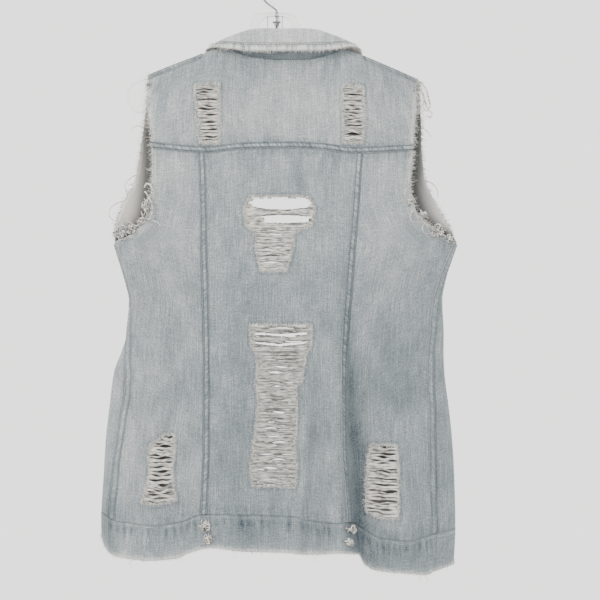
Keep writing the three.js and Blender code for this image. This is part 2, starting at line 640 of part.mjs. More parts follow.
// Loose threads in a rip: a thin wall in rungs over the rip's box, before it is cut to the outline
function rungWall(outline) {
  const xs = outline.map(([x]) => x)
  const drops = outline.map(([, drop]) => drop)
  const [leftX, rightX] = [Math.max(...xs) + 2, Math.min(...xs) - 2]
  const [topDrop, bottomDrop] = [Math.min(...drops) - 2, Math.max(...drops) + 2]
  const rungs = Math.round((bottomDrop - topDrop) / RUNG_PITCH) * 2
  const points = []
  const normals = []
  for (let j = 0; j <= rungs; j++) {
    const drop = lerp(topDrop, bottomDrop, j / rungs)
    const relief = (j % 2 - 1) * RUNG_RELIEF
    const row = even(RUNG_COLUMNS).map(u => {
      const angle = angleAt(lerp(leftX, rightX, u), drop, BACK_SIDE)
      return { normal: outward(angle, drop), point: skin(angle, drop) }
    })
    points.push(row.map(({ point, normal }) => point.addScaledVector(normal, relief)))
    normals.push(row.map(({ normal }) => normal))
  }
  return clothWall({ points, normals }, THREADS)
}

for (const { name, panel, outline, gaps } of RIPS) {
  const cloth = panels[panel]
  cloth.geometry = toGeometry(toSolid(cloth.geometry).subtract(windowPrism(grown(outline, WINDOW_CLEARANCE))))
  let threads = toSolid(rungWall(outline)).intersect(windowPrism(outline))
  for (const gap of gaps) threads = threads.subtract(windowPrism(gap))
  addPiece(name, toGeometry(biggest(threads)), WEFT)
}
for (const [name, { geometry }] of Object.entries(panels)) addPiece(name, geometry, DENIM)

// Felled seams and front bands, which lie on the panels' own points
const lastRow = BACK_ROWS.length - 1
const sideRow = BACK_ROWS.findIndex(v => v > 0.25)
const lastCol = grid => grid.points[0].length - 1
addPiece('yoke_seam', onTop(partOf(yokeGrid, YOKE_ROWS.length - 2, YOKE_ROWS.length - 1, 0, YOKE_COLS),
  SEAM_CLOTH), DENIM_SEAM)
addPiece('shoulder_seam_left', onTop(partOf(yokeGrid, 0, 2, 0, SHOULDER_COLS), SEAM_CLOTH), DENIM_SEAM)
addPiece('shoulder_seam_right',
  onTop(partOf(yokeGrid, 0, 2, YOKE_COLS - SHOULDER_COLS, YOKE_COLS), SEAM_CLOTH), DENIM_SEAM)
addPiece('princess_seam_left', onTop(partOf(centreGrid, 0, lastRow, 0, 1), SEAM_CLOTH), DENIM_SEAM)
addPiece('princess_seam_right',
  onTop(partOf(centreGrid, 0, lastRow, lastCol(centreGrid) - 1, lastCol(centreGrid)), SEAM_CLOTH), DENIM_SEAM)
for (const hand of HANDS) {
  const sideGrid = gridOf(`back_side_panel_${hand}`)
  addPiece(`side_seam_${hand}`, onTop(partOf(sideGrid, sideRow, lastRow, 0, 1), SEAM_CLOTH), DENIM_SEAM)
  const frontGrid = gridOf(`front_panel_${hand}`)
  const edge = lastCol(frontGrid)
  addPiece(`front_band_${hand}`, onTop(partOf(frontGrid, 0, FRONT_ROWS.length - 1, edge - 1, edge), CLOTH),
    DENIM)
}

// Buttons sit on the left band, halfway across it, on the row nearest to each one's place
const buttonProfile = [[0, 0], [3, 0], [3, 1.8], [BUTTON_DIAMETER / 2, 2.2], [BUTTON_DIAMETER / 2, 4],
  [BUTTON_DIAMETER / 2 - 1.6, 5.4], [0, BUTTON_HEIGHT]].map(([r, y]) => new THREE.Vector2(r, y))
const buttonGrid = gridOf('front_panel_left')
BUTTON_DROPS.forEach((drop, index) => {
  const middleOf = row => row.at(-1).clone().add(row.at(-2)).multiplyScalar(0.5)
  const distances = buttonGrid.points.map(row => Math.abs(middleOf(row).z + drop))
  const j = distances.indexOf(Math.min(...distances))
  const normal = middleOf(buttonGrid.normals[j]).normalize()
  const button = addPiece(`button_${index + 1}`, new THREE.LatheGeometry(buttonProfile, 10), BUTTON_METAL)
  button.position.copy(middleOf(buttonGrid.points[j])).addScaledVector(normal, 3 * GAP + CLOTH)
  button.quaternion.setFromUnitVectors(new THREE.Vector3(0, 1, 0), normal)
})

// A grid of points with directions worked out from its own neighbours, facing away from a line
function facingAway(points, middleX, middleY) {
  const normals = points.map((row, j) => row.map((p, i) => {
    const along = row[Math.min(i + 1, row.length - 1)].clone().sub(row[Math.max(i - 1, 0)])
    const down = points[Math.min(j + 1, points.length - 1)][i].clone().sub(points[Math.max(j - 1, 0)][i])
    return down.cross(along).normalize()
  }))
  const middle = normals[Math.floor(points.length / 2)]
  const probe = Math.floor(middle.length / 2)
  const probed = points[Math.floor(points.length / 2)][probe]
  const away = new THREE.Vector2(probed.x - middleX, probed.y - middleY)
  const sign = Math.sign(away.x * middle[probe].x + away.y * middle[probe].y)
  return { points, normals: normals.map(row => row.map(n => n.multiplyScalar(sign))) }
}

// Collar: smooth lines through its stations, from the left front end round to the right one
const stations = [...COLLAR.slice(1).reverse().map(row => ({ ...row, hand: 1 })),
  ...COLLAR.map(row => ({ ...row, hand: -1 }))]
const throughStations = place => new THREE.CatmullRomCurve3(stations.map(place), false, 'centripetal')
const baseLine = throughStations(({ x, side, hand }) => {
  const at = NECK_MIDDLE + hand * x
  const drop = (side > 0 ? neckBack(at) : neckFront(at)) - COLLAR_LIFT
  if (x > NECK_HALF - 1) return new THREE.Vector3(at, 0, -drop)
  if (side < 0) return skin(angleAt(at - hand * COLLAR_INSET, drop, side), drop)
  return skin(angleAt(at, drop, side), drop)
})
const rollLine = throughStations(({ rollX, rollY, rollDrop, hand }) =>
  new THREE.Vector3(NECK_MIDDLE + hand * rollX, rollY, -rollDrop))
const edgeLine = throughStations(({ edgeX, edgeY, edgeDrop, hand }) =>
  new THREE.Vector3(NECK_MIDDLE + hand * edgeX, edgeY, -edgeDrop))
const collarSteps = even(2 * (stations.length - 1))
const standPoints = even(2).map(v => collarSteps.map(t =>
  baseLine.getPoint(t).lerp(rollLine.getPoint(t), v)))
const standGrid = facingAway(standPoints.reverse(), NECK_MIDDLE, -8)
addPiece('collar_stand', clothWall(standGrid, CLOTH), DENIM_SEAM)

function fallPoint(t, v) {
  const roll = rollLine.getPoint(t)
  const rise = roll.clone().sub(baseLine.getPoint(t)).normalize()
  roll.addScaledVector(rise, CLOTH + 2 * GAP)
  const edge = edgeLine.getPoint(t)
  const out = new THREE.Vector3(roll.x - NECK_MIDDLE, roll.y + 8, 0).normalize()
  const crown = roll.clone().addScaledVector(out, ROLL_REACH).addScaledVector(rise, ROLL_RISE)
  roll.addScaledVector(out, -CLOTH)
  roll.multiplyScalar((1 - v) ** 2)
  return roll.addScaledVector(crown, 2 * v * (1 - v)).addScaledVector(edge, v * v)
}
const fallGrid = facingAway([0, 0.2, 0.42, 0.72, 1].map(v => collarSteps.map(t => fallPoint(t, v))),
  NECK_MIDDLE, -8)
addPiece('collar_fall', clothWall(fallGrid, CLOTH), DENIM)

// A jagged strip of loose threads past a raw edge. The edge is a line of a panel's own points, inner is
// the line of points next to it in the cloth, and each stretch between two points gets some threads.
function frayAlong({ edge, inner, normals, widths, perStretch, thickness = FRAY_CLOTH }) {
  const near = []
  const far = []
  const facing = []
  const count = perStretch * (edge.length - 1)
  const place = (line, k) => {
    const i = Math.min(Math.floor(k / perStretch), edge.length - 2)
    return line[i].clone().lerp(line[i + 1], k / perStretch - i)
  }
  for (let k = 0; k <= count; k++) {
    const p = place(edge, k)
    const normal = place(normals, k).normalize()
    const run = place(edge, Math.min(k + 1, count)).sub(place(edge, Math.max(k - 1, 0)))
    const away = run.cross(normal).normalize()
    if (away.dot(p.clone().sub(place(inner, k))) < 0) away.negate()
    const width = k === 0 || k === count ? FRAY_END : widths[k % widths.length]
    near.push(p.clone().addScaledVector(away, GAP))
    far.push(p.clone().addScaledVector(away, GAP + width))
    facing.push(normal)
  }
  return clothWall({ points: [near, far], normals: [facing, facing] }, thickness)
}
const lastRowEdge = ({ points, normals }) =>
  ({ edge: points.at(-1), inner: points.at(-2), normals: normals.at(-1) })
addPiece('collar_fray', frayAlong({ ...lastRowEdge(fallGrid), widths: COLLAR_FRAY, perStretch: 1 }), WEFT)
for (const name of ['back', 'front_left', 'front_right']) {
  const bottom = lastRowEdge(gridOf(`hem_band_${name}`))
  addPiece(`hem_fray_${name}`, frayAlong({ ...bottom, widths: HEM_FRAY, perStretch: 2 }), WEFT)
}

// A column of a grid with the column next to it, over some of its rows
const columnEdge = ({ points, normals }, i, next, j0, j1) => ({
  edge: points.slice(j0, j1).map(row => row.at(i)),
  inner: points.slice(j0, j1).map(row => row.at(next)),
  normals: normals.slice(j0, j1).map(row => row.at(i)),
})
const joined = (a, b) => Object.fromEntries(Object.keys(a).map(key => [key, [...a[key], ...b[key]]]))
const underarmRow = BACK_ROWS.findIndex(v => v > 0.2)
const frontUnderarmRow = FRONT_ROWS.findIndex(v => v > 0.29)
for (const hand of HANDS) {
  const [i, next] = hand === 'left' ? [0, 1] : [-1, -2]
  const back = joined(columnEdge(yokeGrid, i, next, 3, YOKE_ROWS.length),
    columnEdge(gridOf(`back_side_panel_${hand}`), 0, 1, 1, underarmRow + 1))
  const front = columnEdge(gridOf(`front_panel_${hand}`), 0, 1, 3, frontUnderarmRow + 1)
  addPiece(`armhole_fray_back_${hand}`, frayAlong({ ...back, widths: ARMHOLE_FRAY, perStretch: 2 }), WEFT)
  addPiece(`armhole_fray_front_${hand}`, frayAlong({ ...front, widths: ARMHOLE_FRAY, perStretch: 3 }), WEFT)
}

// Hanger plate: arms that follow the shoulders under the cloth, rounded ends and an open neck block
const armTop = x => shoulderDrop(x) + ARM_SEAT
const HANGER_TOP = [
  [186, armTop(186)], [150, armTop(150)], [112, armTop(112)], [94, armTop(94) + 2], [80, 115],
  [46, 102], [43, 77], [32, 53], [27, BLOCK_TOP_DROP], [-13, BLOCK_TOP_DROP], [-28, 54], [-37, 78],
  [-46, 102], [-92, 118], [-108, armTop(-108) + 2.5], [-124, armTop(-124)],
  [-160, armTop(-160)], [-190, armTop(-190) + 0.4], [-206, armTop(-206) + 2],
]
const HANGER_END_RIGHT = [[-215, 157], [-221, 167], [-221, 184], [-212, 197], [-202, 199], [-192, 191]]
const HANGER_BOTTOM = [
  [-178, 173], [-130, armTop(-130) + ARM_HEIGHT], [-80, armTop(-80) + ARM_HEIGHT], [-40, 112], [0, 108],
  [40, 111], [80, armTop(80) + ARM_HEIGHT], [130, armTop(130) + ARM_HEIGHT], [168, 167],
]
const HANGER_END_LEFT = [[187, 189], [198, 197], [208, 195], [216, 183], [218, 168], [210, 154]]
const plateOutline = [...HANGER_TOP, ...HANGER_END_RIGHT, ...HANGER_BOTTOM, ...HANGER_END_LEFT]
const inset = grown(plateOutline, -PLATE_BEVEL)
const plateShape = new THREE.Shape(inset.map(([x, drop]) => new THREE.Vector2(x, -drop)))
const windowDrop = BLOCK_TOP_DROP + TOP_BAR
const blockWindow = [[20, windowDrop], [-18, windowDrop], [-25, WINDOW_BOTTOM_DROP], [27, WINDOW_BOTTOM_DROP]]
plateShape.holes.push(new THREE.Path(blockWindow.map(([x, drop]) => new THREE.Vector2(x, -drop))))
const plate = new THREE.ExtrudeGeometry(plateShape, {
  depth: PLATE - 2 * PLATE_BEVEL, bevelThickness: PLATE_BEVEL, bevelSize: PLATE_BEVEL, bevelSegments: 2,
})
plate.rotateX(Math.PI / 2).translate(0, PLATE / 2 - PLATE_BEVEL, 0)
const bore = new THREE.CylinderGeometry(FERRULE_RADIUS + GAP, FERRULE_RADIUS + GAP, 3 * TOP_BAR, 16)
bore.rotateX(Math.PI / 2).translate(0, 0, -BLOCK_TOP_DROP - TOP_BAR / 2)
addPiece('hanger_body', toGeometry(toSolid(plate).subtract(toSolid(bore))), CLEAR_PLASTIC)

// Ferrule, neck, flange and bolt that the hook turns on, through the block's top bar
const ferruleProfile = [[0, 77.8], [1.8, 77.8], [1.8, 69], [3.4, 69], [3.4, 66], [1.6, 66], [6.2, 65.2],
  [6.2, 63.6], [1.6, 62.9], [1.6, 57.4], [FERRULE_RADIUS, 56], [FERRULE_RADIUS, FERRULE_TOP_DROP],
  [0, FERRULE_TOP_DROP]]
  .map(([r, drop]) => new THREE.Vector2(r, -drop))
addPiece('hook_ferrule', new THREE.LatheGeometry(ferruleProfile, 10), STEEL).rotation.x = Math.PI / 2

// Hook: a bend out of the stem, a straight rise to the ring and a round open ring
class HookPath extends THREE.Curve {
  constructor() {
    super()
    this.centreDrop = HOOK_RADIUS - WIRE / 2
    const reach = BEND_DROP - this.centreDrop
    this.slope = Math.asin(HOOK_RADIUS / reach)
    this.straight = Math.sqrt(reach ** 2 - HOOK_RADIUS ** 2)
    this.sweep = Math.PI + this.slope + toRad(15)
    this.stem = FERRULE_TOP_DROP - GAP - BEND_DROP
    this.total = this.stem + this.straight + HOOK_RADIUS * this.sweep
  }
  getPoint(t, target = new THREE.Vector3()) {
    const run = t * this.total
    if (run < this.stem) return target.set(0, 0, -BEND_DROP - this.stem + run)
    const along = run - this.stem
    if (along < this.straight) {
      return target.set(along * Math.sin(this.slope), 0, -BEND_DROP + along * Math.cos(this.slope))
    }
    const turn = (along - this.straight) / HOOK_RADIUS - this.slope
    return target.set(HOOK_RADIUS * Math.cos(turn), 0, HOOK_RADIUS * Math.sin(turn) - this.centreDrop)
  }
}
const wireSection = new THREE.Shape(even(WIRE_SIDES).slice(0, WIRE_SIDES).map(t =>
  new THREE.Vector2(WIRE / 2 * Math.cos(2 * Math.PI * t), WIRE / 2 * Math.sin(2 * Math.PI * t))))
addPiece('hanger_hook', new THREE.ExtrudeGeometry(wireSection, { steps: 34, extrudePath: new HookPath() }),
  STEEL)

export default group
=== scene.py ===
"""Looks of a sleeveless denim vest on a clear hanger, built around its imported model.

The tables give the garment in millimetres: x to the wearer's left, and drops below the rail that the
hook hangs on. The back faces +Y. Blender's own units are metres, so meshes are scaled by MM.
"""
import functools
import logging
import math
from collections.abc import Callable, Sequence
from dataclasses import dataclass, field
from enum import Enum

import bmesh
import bpy
import numpy as np
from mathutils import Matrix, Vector


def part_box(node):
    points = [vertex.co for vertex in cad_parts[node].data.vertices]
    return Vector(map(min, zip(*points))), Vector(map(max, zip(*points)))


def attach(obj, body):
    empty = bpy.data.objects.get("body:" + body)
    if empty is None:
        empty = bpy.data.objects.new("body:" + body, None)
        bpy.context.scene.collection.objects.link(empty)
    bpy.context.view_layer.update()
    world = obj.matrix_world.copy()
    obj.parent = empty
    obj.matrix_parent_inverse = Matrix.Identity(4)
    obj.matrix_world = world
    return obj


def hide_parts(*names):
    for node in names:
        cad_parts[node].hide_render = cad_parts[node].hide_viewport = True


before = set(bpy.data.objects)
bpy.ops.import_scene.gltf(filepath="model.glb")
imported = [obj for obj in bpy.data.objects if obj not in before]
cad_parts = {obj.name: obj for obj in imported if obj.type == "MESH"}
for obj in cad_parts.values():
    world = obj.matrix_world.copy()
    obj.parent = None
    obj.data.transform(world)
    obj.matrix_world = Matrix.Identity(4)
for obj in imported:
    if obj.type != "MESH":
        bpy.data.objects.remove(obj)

LOG = logging.getLogger("denim_vest")
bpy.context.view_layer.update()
MM = 0.001

# Cloth thicknesses, gaps and the shape of the flattened ring, in millimetres and as powers
CLOTH = 1.5
DOUBLE_CLOTH = 2.2
SEAM_CLOTH = 1.2
GAP = 0.4
SEAM_LIFT = 0.25
SIDE_POWER = 2.6
FACE_POWER = 2.2
RIDGE_DEPTH = 13.0
RIDGE_DROP = 22.0
SPREAD_DROP = 130.0
UNDERARM = 384.0
SEAM_WIDTH = 9.0
FRONT_BAND_WIDTH = 30.0
NECK_LEFT = 78.0
NECK_RIGHT = -98.0
NECK_MIDDLE = -10.0
NECK_HALF = 88.0
BODY_MIDDLE_DROP = 585.0

# How finely a cut is measured across, and how often its rows are fitted to the form
CUT_SAMPLES = 240
CUT_ROUNDS = 9
# Half of the slit between two panels under a seam, in millimetres
SEAM_SLIT = 0.06
# Split from which a rip's bundles part so far that what is behind them shows
WIDE_SPLIT = 0.7
# Dark yarns behind the close bundles, painted shade that shows in the cracks between them: their levels in
# the bundle, their height and how dark they are
BACKING_LEVELS = (0.43, 0.57)
BACKING_HEIGHT = -1.0
BACKING_SHADE = 0.42
# How far from an open gap a yarn is shaded, in millimetres
GAP_LIP = 1.5
# Strength of the light and dark along each kind of seam, by the name without its last word
SEAM_WEIGHTS = {"yoke": 1.4, "front_band": 0.35, "side_seam": 0.6}
PLAIN_SEAM_WEIGHT = 1.1

Array = np.ndarray


class Side(Enum):
    """The two faces of the garment, with the sign of their Y."""

    BACK = 1
    FRONT = -1


class Hand(Enum):
    """The wearer's two hands, by their column in the tables and the sign of their X."""

    LEFT = 1
    RIGHT = -1

    @property
    def word(self) -> str:
        """The hand's word in the names of nodes and columns."""
        return self.name.lower()


class Layer(Enum):
    """The two faces of a cloth wall, as the value of its inside attribute."""

    OUTER = 0.0
    INNER = 1.0


@dataclass(frozen=True)
class Table:
    """Rows of numbers under named columns.

    Attributes:
        columns: The columns' names.
        rows: The rows, each as long as the columns.
    """

    columns: tuple[str, ...]
    rows: tuple[tuple[float, ...], ...]

    def column(self, name: str) -> Array:
        """All values of one column."""
        return np.array([row[self.columns.index(name)] for row in self.rows], dtype=float)

    def curve(self, key: str, value: str) -> "Curve":
        """A smooth curve of one column over another."""
        return Curve(self.column(key), self.column(value))


class Curve:
    """A smooth curve through points that never overshoots between them."""

    def __init__(self, at: Array, values: Array) -> None:
        """Works out a tangent at each point.

        Args:
            at: The places of the points, rising.
            values: The values there.
        """
        self.at = at
        self.values = values
        rise = np.diff(values) / np.diff(at)
        before, after = rise[:-1], rise[1:]
        total = np.where(before + after == 0, 1, before + after)
        middle = np.where(before * after <= 0, 0, 2 * before * after / total)
        self.tangents = np.concatenate(([rise[0]], middle, [rise[-1]]))

    def __call__(self, t: Array | float) -> Array:
        """The curve's value at each place."""
        t = np.clip(np.asarray(t, dtype=float), self.at[0], self.at[-1])
        i = np.clip(np.searchsorted(self.at, t, side="right") - 1, 0, len(self.at) - 2)
        width = self.at[i + 1] - self.at[i]
        s = (t - self.at[i]) / width
        rise = self.values[i + 1] - self.values[i]
        a = width * self.tangents[i] - rise
        b = rise - width * self.tangents[i + 1]
        return self.values[i] + s * rise + s * (1 - s) * (a * (1 - s) + b * s)


BODY = Table(("drop", "left", "right", "back", "front"), (
    (60, 238, -264, 22, 22), (250, 240, -266, 24, 27), (330, 243, -268, 28, 30),
    (368, 239, -265, 30, 32), (384, 236, -262, 30, 33), (417, 226, -252, 31, 34),
    (448, 217, -244, 31, 34), (468, 213, -241, 31, 34), (518, 218, -243, 31, 34),
    (544, 226, -243, 32, 35), (571, 236, -244, 33, 36), (622, 243, -250, 35, 38),
    (667, 248, -255, 37, 39), (713, 251, -258, 39, 41), (790, 255, -260, 43, 44),
    (862, 253, -257, 47, 46),
))
SHOULDER = Table(("x", "drop"), (
    (-262, 177), (-205.6, 148), (-117, 109.6), (-60, 87), (0, 70), (50, 86), (101, 107.4),
    (186, 141), (243, 168),
))
NECK_BACK = Table(("x", "drop"), (
    (-98, 101.8), (-87, 110), (-70, 116.5), (-38, 122), (-5, 122.2), (30, 118.7), (54, 112.5), (78, 98),
))
NECK_FRONT = Table(("x", "drop"), (
    (-98, 101.8), (-94, 121), (-86, 144), (-70, 168), (-46, 188), (34, 186), (50, 168), (66, 142),
    (74, 118), (78, 98),
))
ARMHOLE_BACK = Table(("drop", "left", "right"), (
    (141, 186, -205.6), (192, 186, -202), (238, 180, -198), (267, 179, -196), (305, 180, -193),
    (338, 184, -200), (361, 195, -221), (374, 211, -243), (384, 236, -262),
))
ARMHOLE_FRONT = Table(("drop", "left", "right"), (
    (141, 186, -205.6), (202, 193, -211), (254, 201, -213), (290, 207, -217), (327, 225, -234),
    (350, 233, -247), (368, 237, -256), (384, 236, -262),
))
PRINCESS = Table(("drop", "left", "right"), (
    (250, 113, -125), (288, 110.5, -121.5), (341, 109, -118), (395, 108, -113), (461, 106, -108),
    (507, 105, -104), (597, 104, -99), (667, 104, -99), (738, 106, -104), (790, 108, -108),
))
# Degrees by which the side seams have come round from the sides to the back
SIDE_SEAM = Table(("drop", "left", "right"), (
    (384, 0, 0), (448, 0, 11), (505, 2, 21), (545, 16, 24), (575, 26, 25), (614, 27, 27),
    (667, 25.5, 30), (724, 22.5, 31.5), (800, 21.5, 31.5),
))
YOKE_SEAM = Table(("x", "drop"), (
    (-193, 254), (-110, 258), (-60, 252), (-18, 250.5), (50, 252), (100, 257), (182, 250),
))
HEM_SEAM_BACK = Table(("x", "drop"), (
    (-258, 798), (-235, 801), (-190, 810), (-150, 808), (-125, 796), (-108, 785), (-50, 783),
    (-28, 776), (75, 772.5), (105, 773.5), (137, 784), (170, 788.5), (225, 786), (253, 775),
))
HEM_BACK = Table(("x", "drop"), (
    (-257, 850), (-226, 857), (-214, 861), (-190, 857), (-143, 855), (-126, 847), (-119, 833),
    (-86, 827), (-48, 831), (-19, 827), (40, 825), (92, 820), (119, 826), (145, 836), (190, 839),
    (231, 836), (247, 826), (254, 811),
))
HEM_SEAM_FRONT = Table(("x", "drop"), (
    (-258, 798), (-200, 793), (-90, 786), (70, 782), (200, 784), (253, 775),
))
HEM_FRONT = Table(("x", "drop"), (
    (-257, 850), (-200, 843), (-90, 837), (70, 832), (200, 830), (254, 811),
))
FRONT_EDGE = Table(("drop", "left", "right"), (
    (100, 33, -45), (330, 42, -54), (515, 48, -62), (700, 58, -74), (850, 66, -84),
))

# Folds as lines from x0, drop0 to x1, drop1. A trough has a negative depth, near and far are its
# widths towards +X and -X, and the last rows on each side are lighter creases than the solids have.
FOLD_COLUMNS = ("x0", "drop0", "x1", "drop1", "near", "far", "depth")
FOLDS_BACK = Table(FOLD_COLUMNS, (
    (-104, 500, -124, 870, 13, 30, -19), (-62, 570, -42, 870, 8, 20, -9),
    (-84, 600, -84, 870, 14, 14, 5), (-30, 256, -46, 330, 5, 11, -3),
    (22, 415, 14, 500, 9, 12, -2.5), (192, 372, 138, 545, 16, 22, -5),
    (226, 560, 184, 672, 9, 14, -6), (120, 575, 158, 664, 10, 9, -4),
    (216, 742, 118, 772, 8, 10, -4), (-148, 505, -206, 590, 14, 12, -5),
    (-206, 590, -158, 672, 12, 12, -4), (-188, 640, -186, 870, 22, 22, 7),
    (176, 700, 178, 870, 24, 24, 5), (60, 640, 66, 870, 26, 26, 4),
))
FOLDS_FRONT = Table(FOLD_COLUMNS, (
    (150, 330, 176, 870, 18, 14, -8), (112, 480, 120, 870, 14, 20, 6),
    (206, 420, 140, 560, 12, 16, -5), (-168, 360, -190, 870, 14, 20, -9),
    (-130, 520, -134, 870, 18, 14, 6), (-214, 430, -150, 590, 15, 12, -5),
))
CREASES_BACK = Table(FOLD_COLUMNS, (
    (-18, 262, -26, 318, 5, 7, 1.6), (-48, 440, -52, 505, 7, 9, -1.2), (62, 300, 48, 388, 9, 12, -1.0),
    (78, 440, 70, 560, 10, 9, 1.1), (150, 300, 128, 396, 12, 9, -1.3), (172, 410, 120, 500, 9, 12, 1.5),
    (208, 470, 150, 560, 8, 11, -2.0), (190, 600, 168, 660, 7, 8, 1.6), (202, 700, 150, 752, 7, 9, 1.6),
    (236, 700, 214, 790, 8, 12, -3.0), (196, 770, 140, 786, 6, 7, -1.6),
    (-140, 290, -176, 372, 10, 10, -1.4), (-228, 470, -176, 540, 8, 10, -1.8),
    (-150, 560, -186, 640, 8, 10, 1.6), (-212, 640, -172, 700, 9, 9, 1.6),
    (-220, 720, -206, 800, 8, 10, -2.2), (-150, 700, -136, 800, 8, 8, -2.0),
    (-90, 380, -96, 470, 8, 10, -1.3), (-84, 500, -70, 560, 6, 9, 1.2),
    (-20, 610, -30, 770, 9, 12, -1.4), (88, 610, 92, 760, 8, 10, -1.2),
    (150, 160, 138, 236, 10, 12, -1.1), (-160, 176, -146, 240, 10, 10, -1.1),
    (44, 150, 30, 236, 12, 14, -0.8), (-64, 150, -52, 236, 12, 12, -0.8), (-4, 430, -8, 500, 5, 6, 0.8),
))
CREASES_FRONT = Table(FOLD_COLUMNS, (
    (96, 240, 120, 330, 10, 12, -1.4), (180, 260, 150, 350, 9, 12, -1.6), (86, 420, 100, 520, 9, 10, 1.3),
    (216, 560, 170, 640, 9, 12, -2.2), (130, 620, 110, 760, 10, 12, -1.8), (196, 700, 206, 800, 8, 12, 1.8),
    (-96, 250, -118, 340, 10, 10, -1.4), (-186, 250, -160, 350, 10, 12, -1.5),
    (-110, 430, -100, 540, 9, 11, 1.3), (-222, 590, -178, 650, 10, 10, -2.2),
    (-150, 640, -160, 770, 10, 10, -1.8), (-214, 720, -220, 800, 9, 9, 1.8),
))


def smooth(t: Array | float) -> Array:
    """An S-shaped rise from 0 to 1 as t goes from 0 to 1."""
    s = np.clip(t, 0, 1)
    return s * s * (3 - 2 * s)


def signed_power(value: Array, power: float) -> Array:
    """The power of a number's size, with the number's own sign."""
    return np.sign(value) * np.abs(value) ** power


def unit(vectors: Array) -> Array:
    """Vectors brought to length 1, along the last axis."""
    length = np.linalg.norm(vectors, axis=-1, keepdims=True)
    return vectors / np.where(length < 1e-9, 1, length)


def bell(distance: Array, width: Array | float) -> Array:
    """A bell-shaped weight: 1 where the distance is nothing, and near 0 past twice the width."""
    return np.exp(-((distance / width) ** 2))


def pair(table: Table) -> dict[Hand, Curve]:
    """The curves of a table that has a left and a right column."""
    return {hand: table.curve("drop", hand.word) for hand in Hand}


def fold_depth(folds: Table, x: Array, drop: Array) -> Array:
    """Depth of all folds of a table at each place, as soft troughs and ridges.

    Args:
        folds: The fold lines.
        x: Places across.
        drop: Places down.

    Returns:
        The depth in millimetres, positive outwards.
    """
    depth = np.zeros(np.broadcast(x, drop).shape)
    for x0, drop0, x1, drop1, near, far, full in folds.rows:
        run_x, run_drop = x1 - x0, drop1 - drop0
        length = math.hypot(run_x, run_drop)
        along = ((x - x0) * run_x + (drop - drop0) * run_drop) / length
        across = ((x - x0) * run_drop - (drop - drop0) * run_x) / length
        width = np.where(across > 0, near, far)
        fade = smooth(along / (length * 0.45) + 0.25) * smooth((length - along) / 40 + 1)
        depth += full * fade * bell(across, width)
    return depth


@dataclass(frozen=True)
class Puckers:
    """Short ticks that gathered stitching draws across a seam.

    Attributes:
        path: The seam's line, drop over x.
        start: First x of the row.
        end: Last x of the row.
        depth: Middling depth of a tick.
        reach: How far a tick runs down and up from the seam.
        below: How far under the seam's line the row is centred.
        seed: Seed of the spacing.
    """

    path: Curve
    start: float
    end: float
    depth: float
    reach: float
    below: float
    seed: int

    def relief(self, x: Array, drop: Array) -> Array:
        """Depth of the ticks at each place.

        Args:
            x: Places across.
            drop: Places down.

        Returns:
            The depth in millimetres, negative in a tick.
        """
        offset = drop - self.path(x) - self.below
        relief = np.zeros(np.broadcast(x, drop).shape)
        near = np.abs(offset) < 2.2 * self.reach
        if not near.any():
            return relief
        across, offset = np.broadcast_to(x, relief.shape)[near], offset[near]
        found = np.zeros(across.shape)
        for at, depth, width, lean, reach in self.ticks:
            found -= depth * np.exp(-(((across - at - lean * offset) / width) ** 2) - (offset / reach) ** 2)
        relief[near] = found
        return relief

    @functools.cached_property
    def ticks(self) -> list[tuple[float, ...]]:
        """Place, depth, width, lean and reach of each tick."""
        random = np.random.default_rng(self.seed)
        found, at = [], self.start
        while at < self.end:
            found.append((at, self.depth * random.uniform(0.35, 1.3), random.uniform(1.7, 3.4),
                          random.uniform(-0.2, 0.2), self.reach * random.uniform(0.6, 1.25)))
            at += random.uniform(5.5, 12.5)
        return found


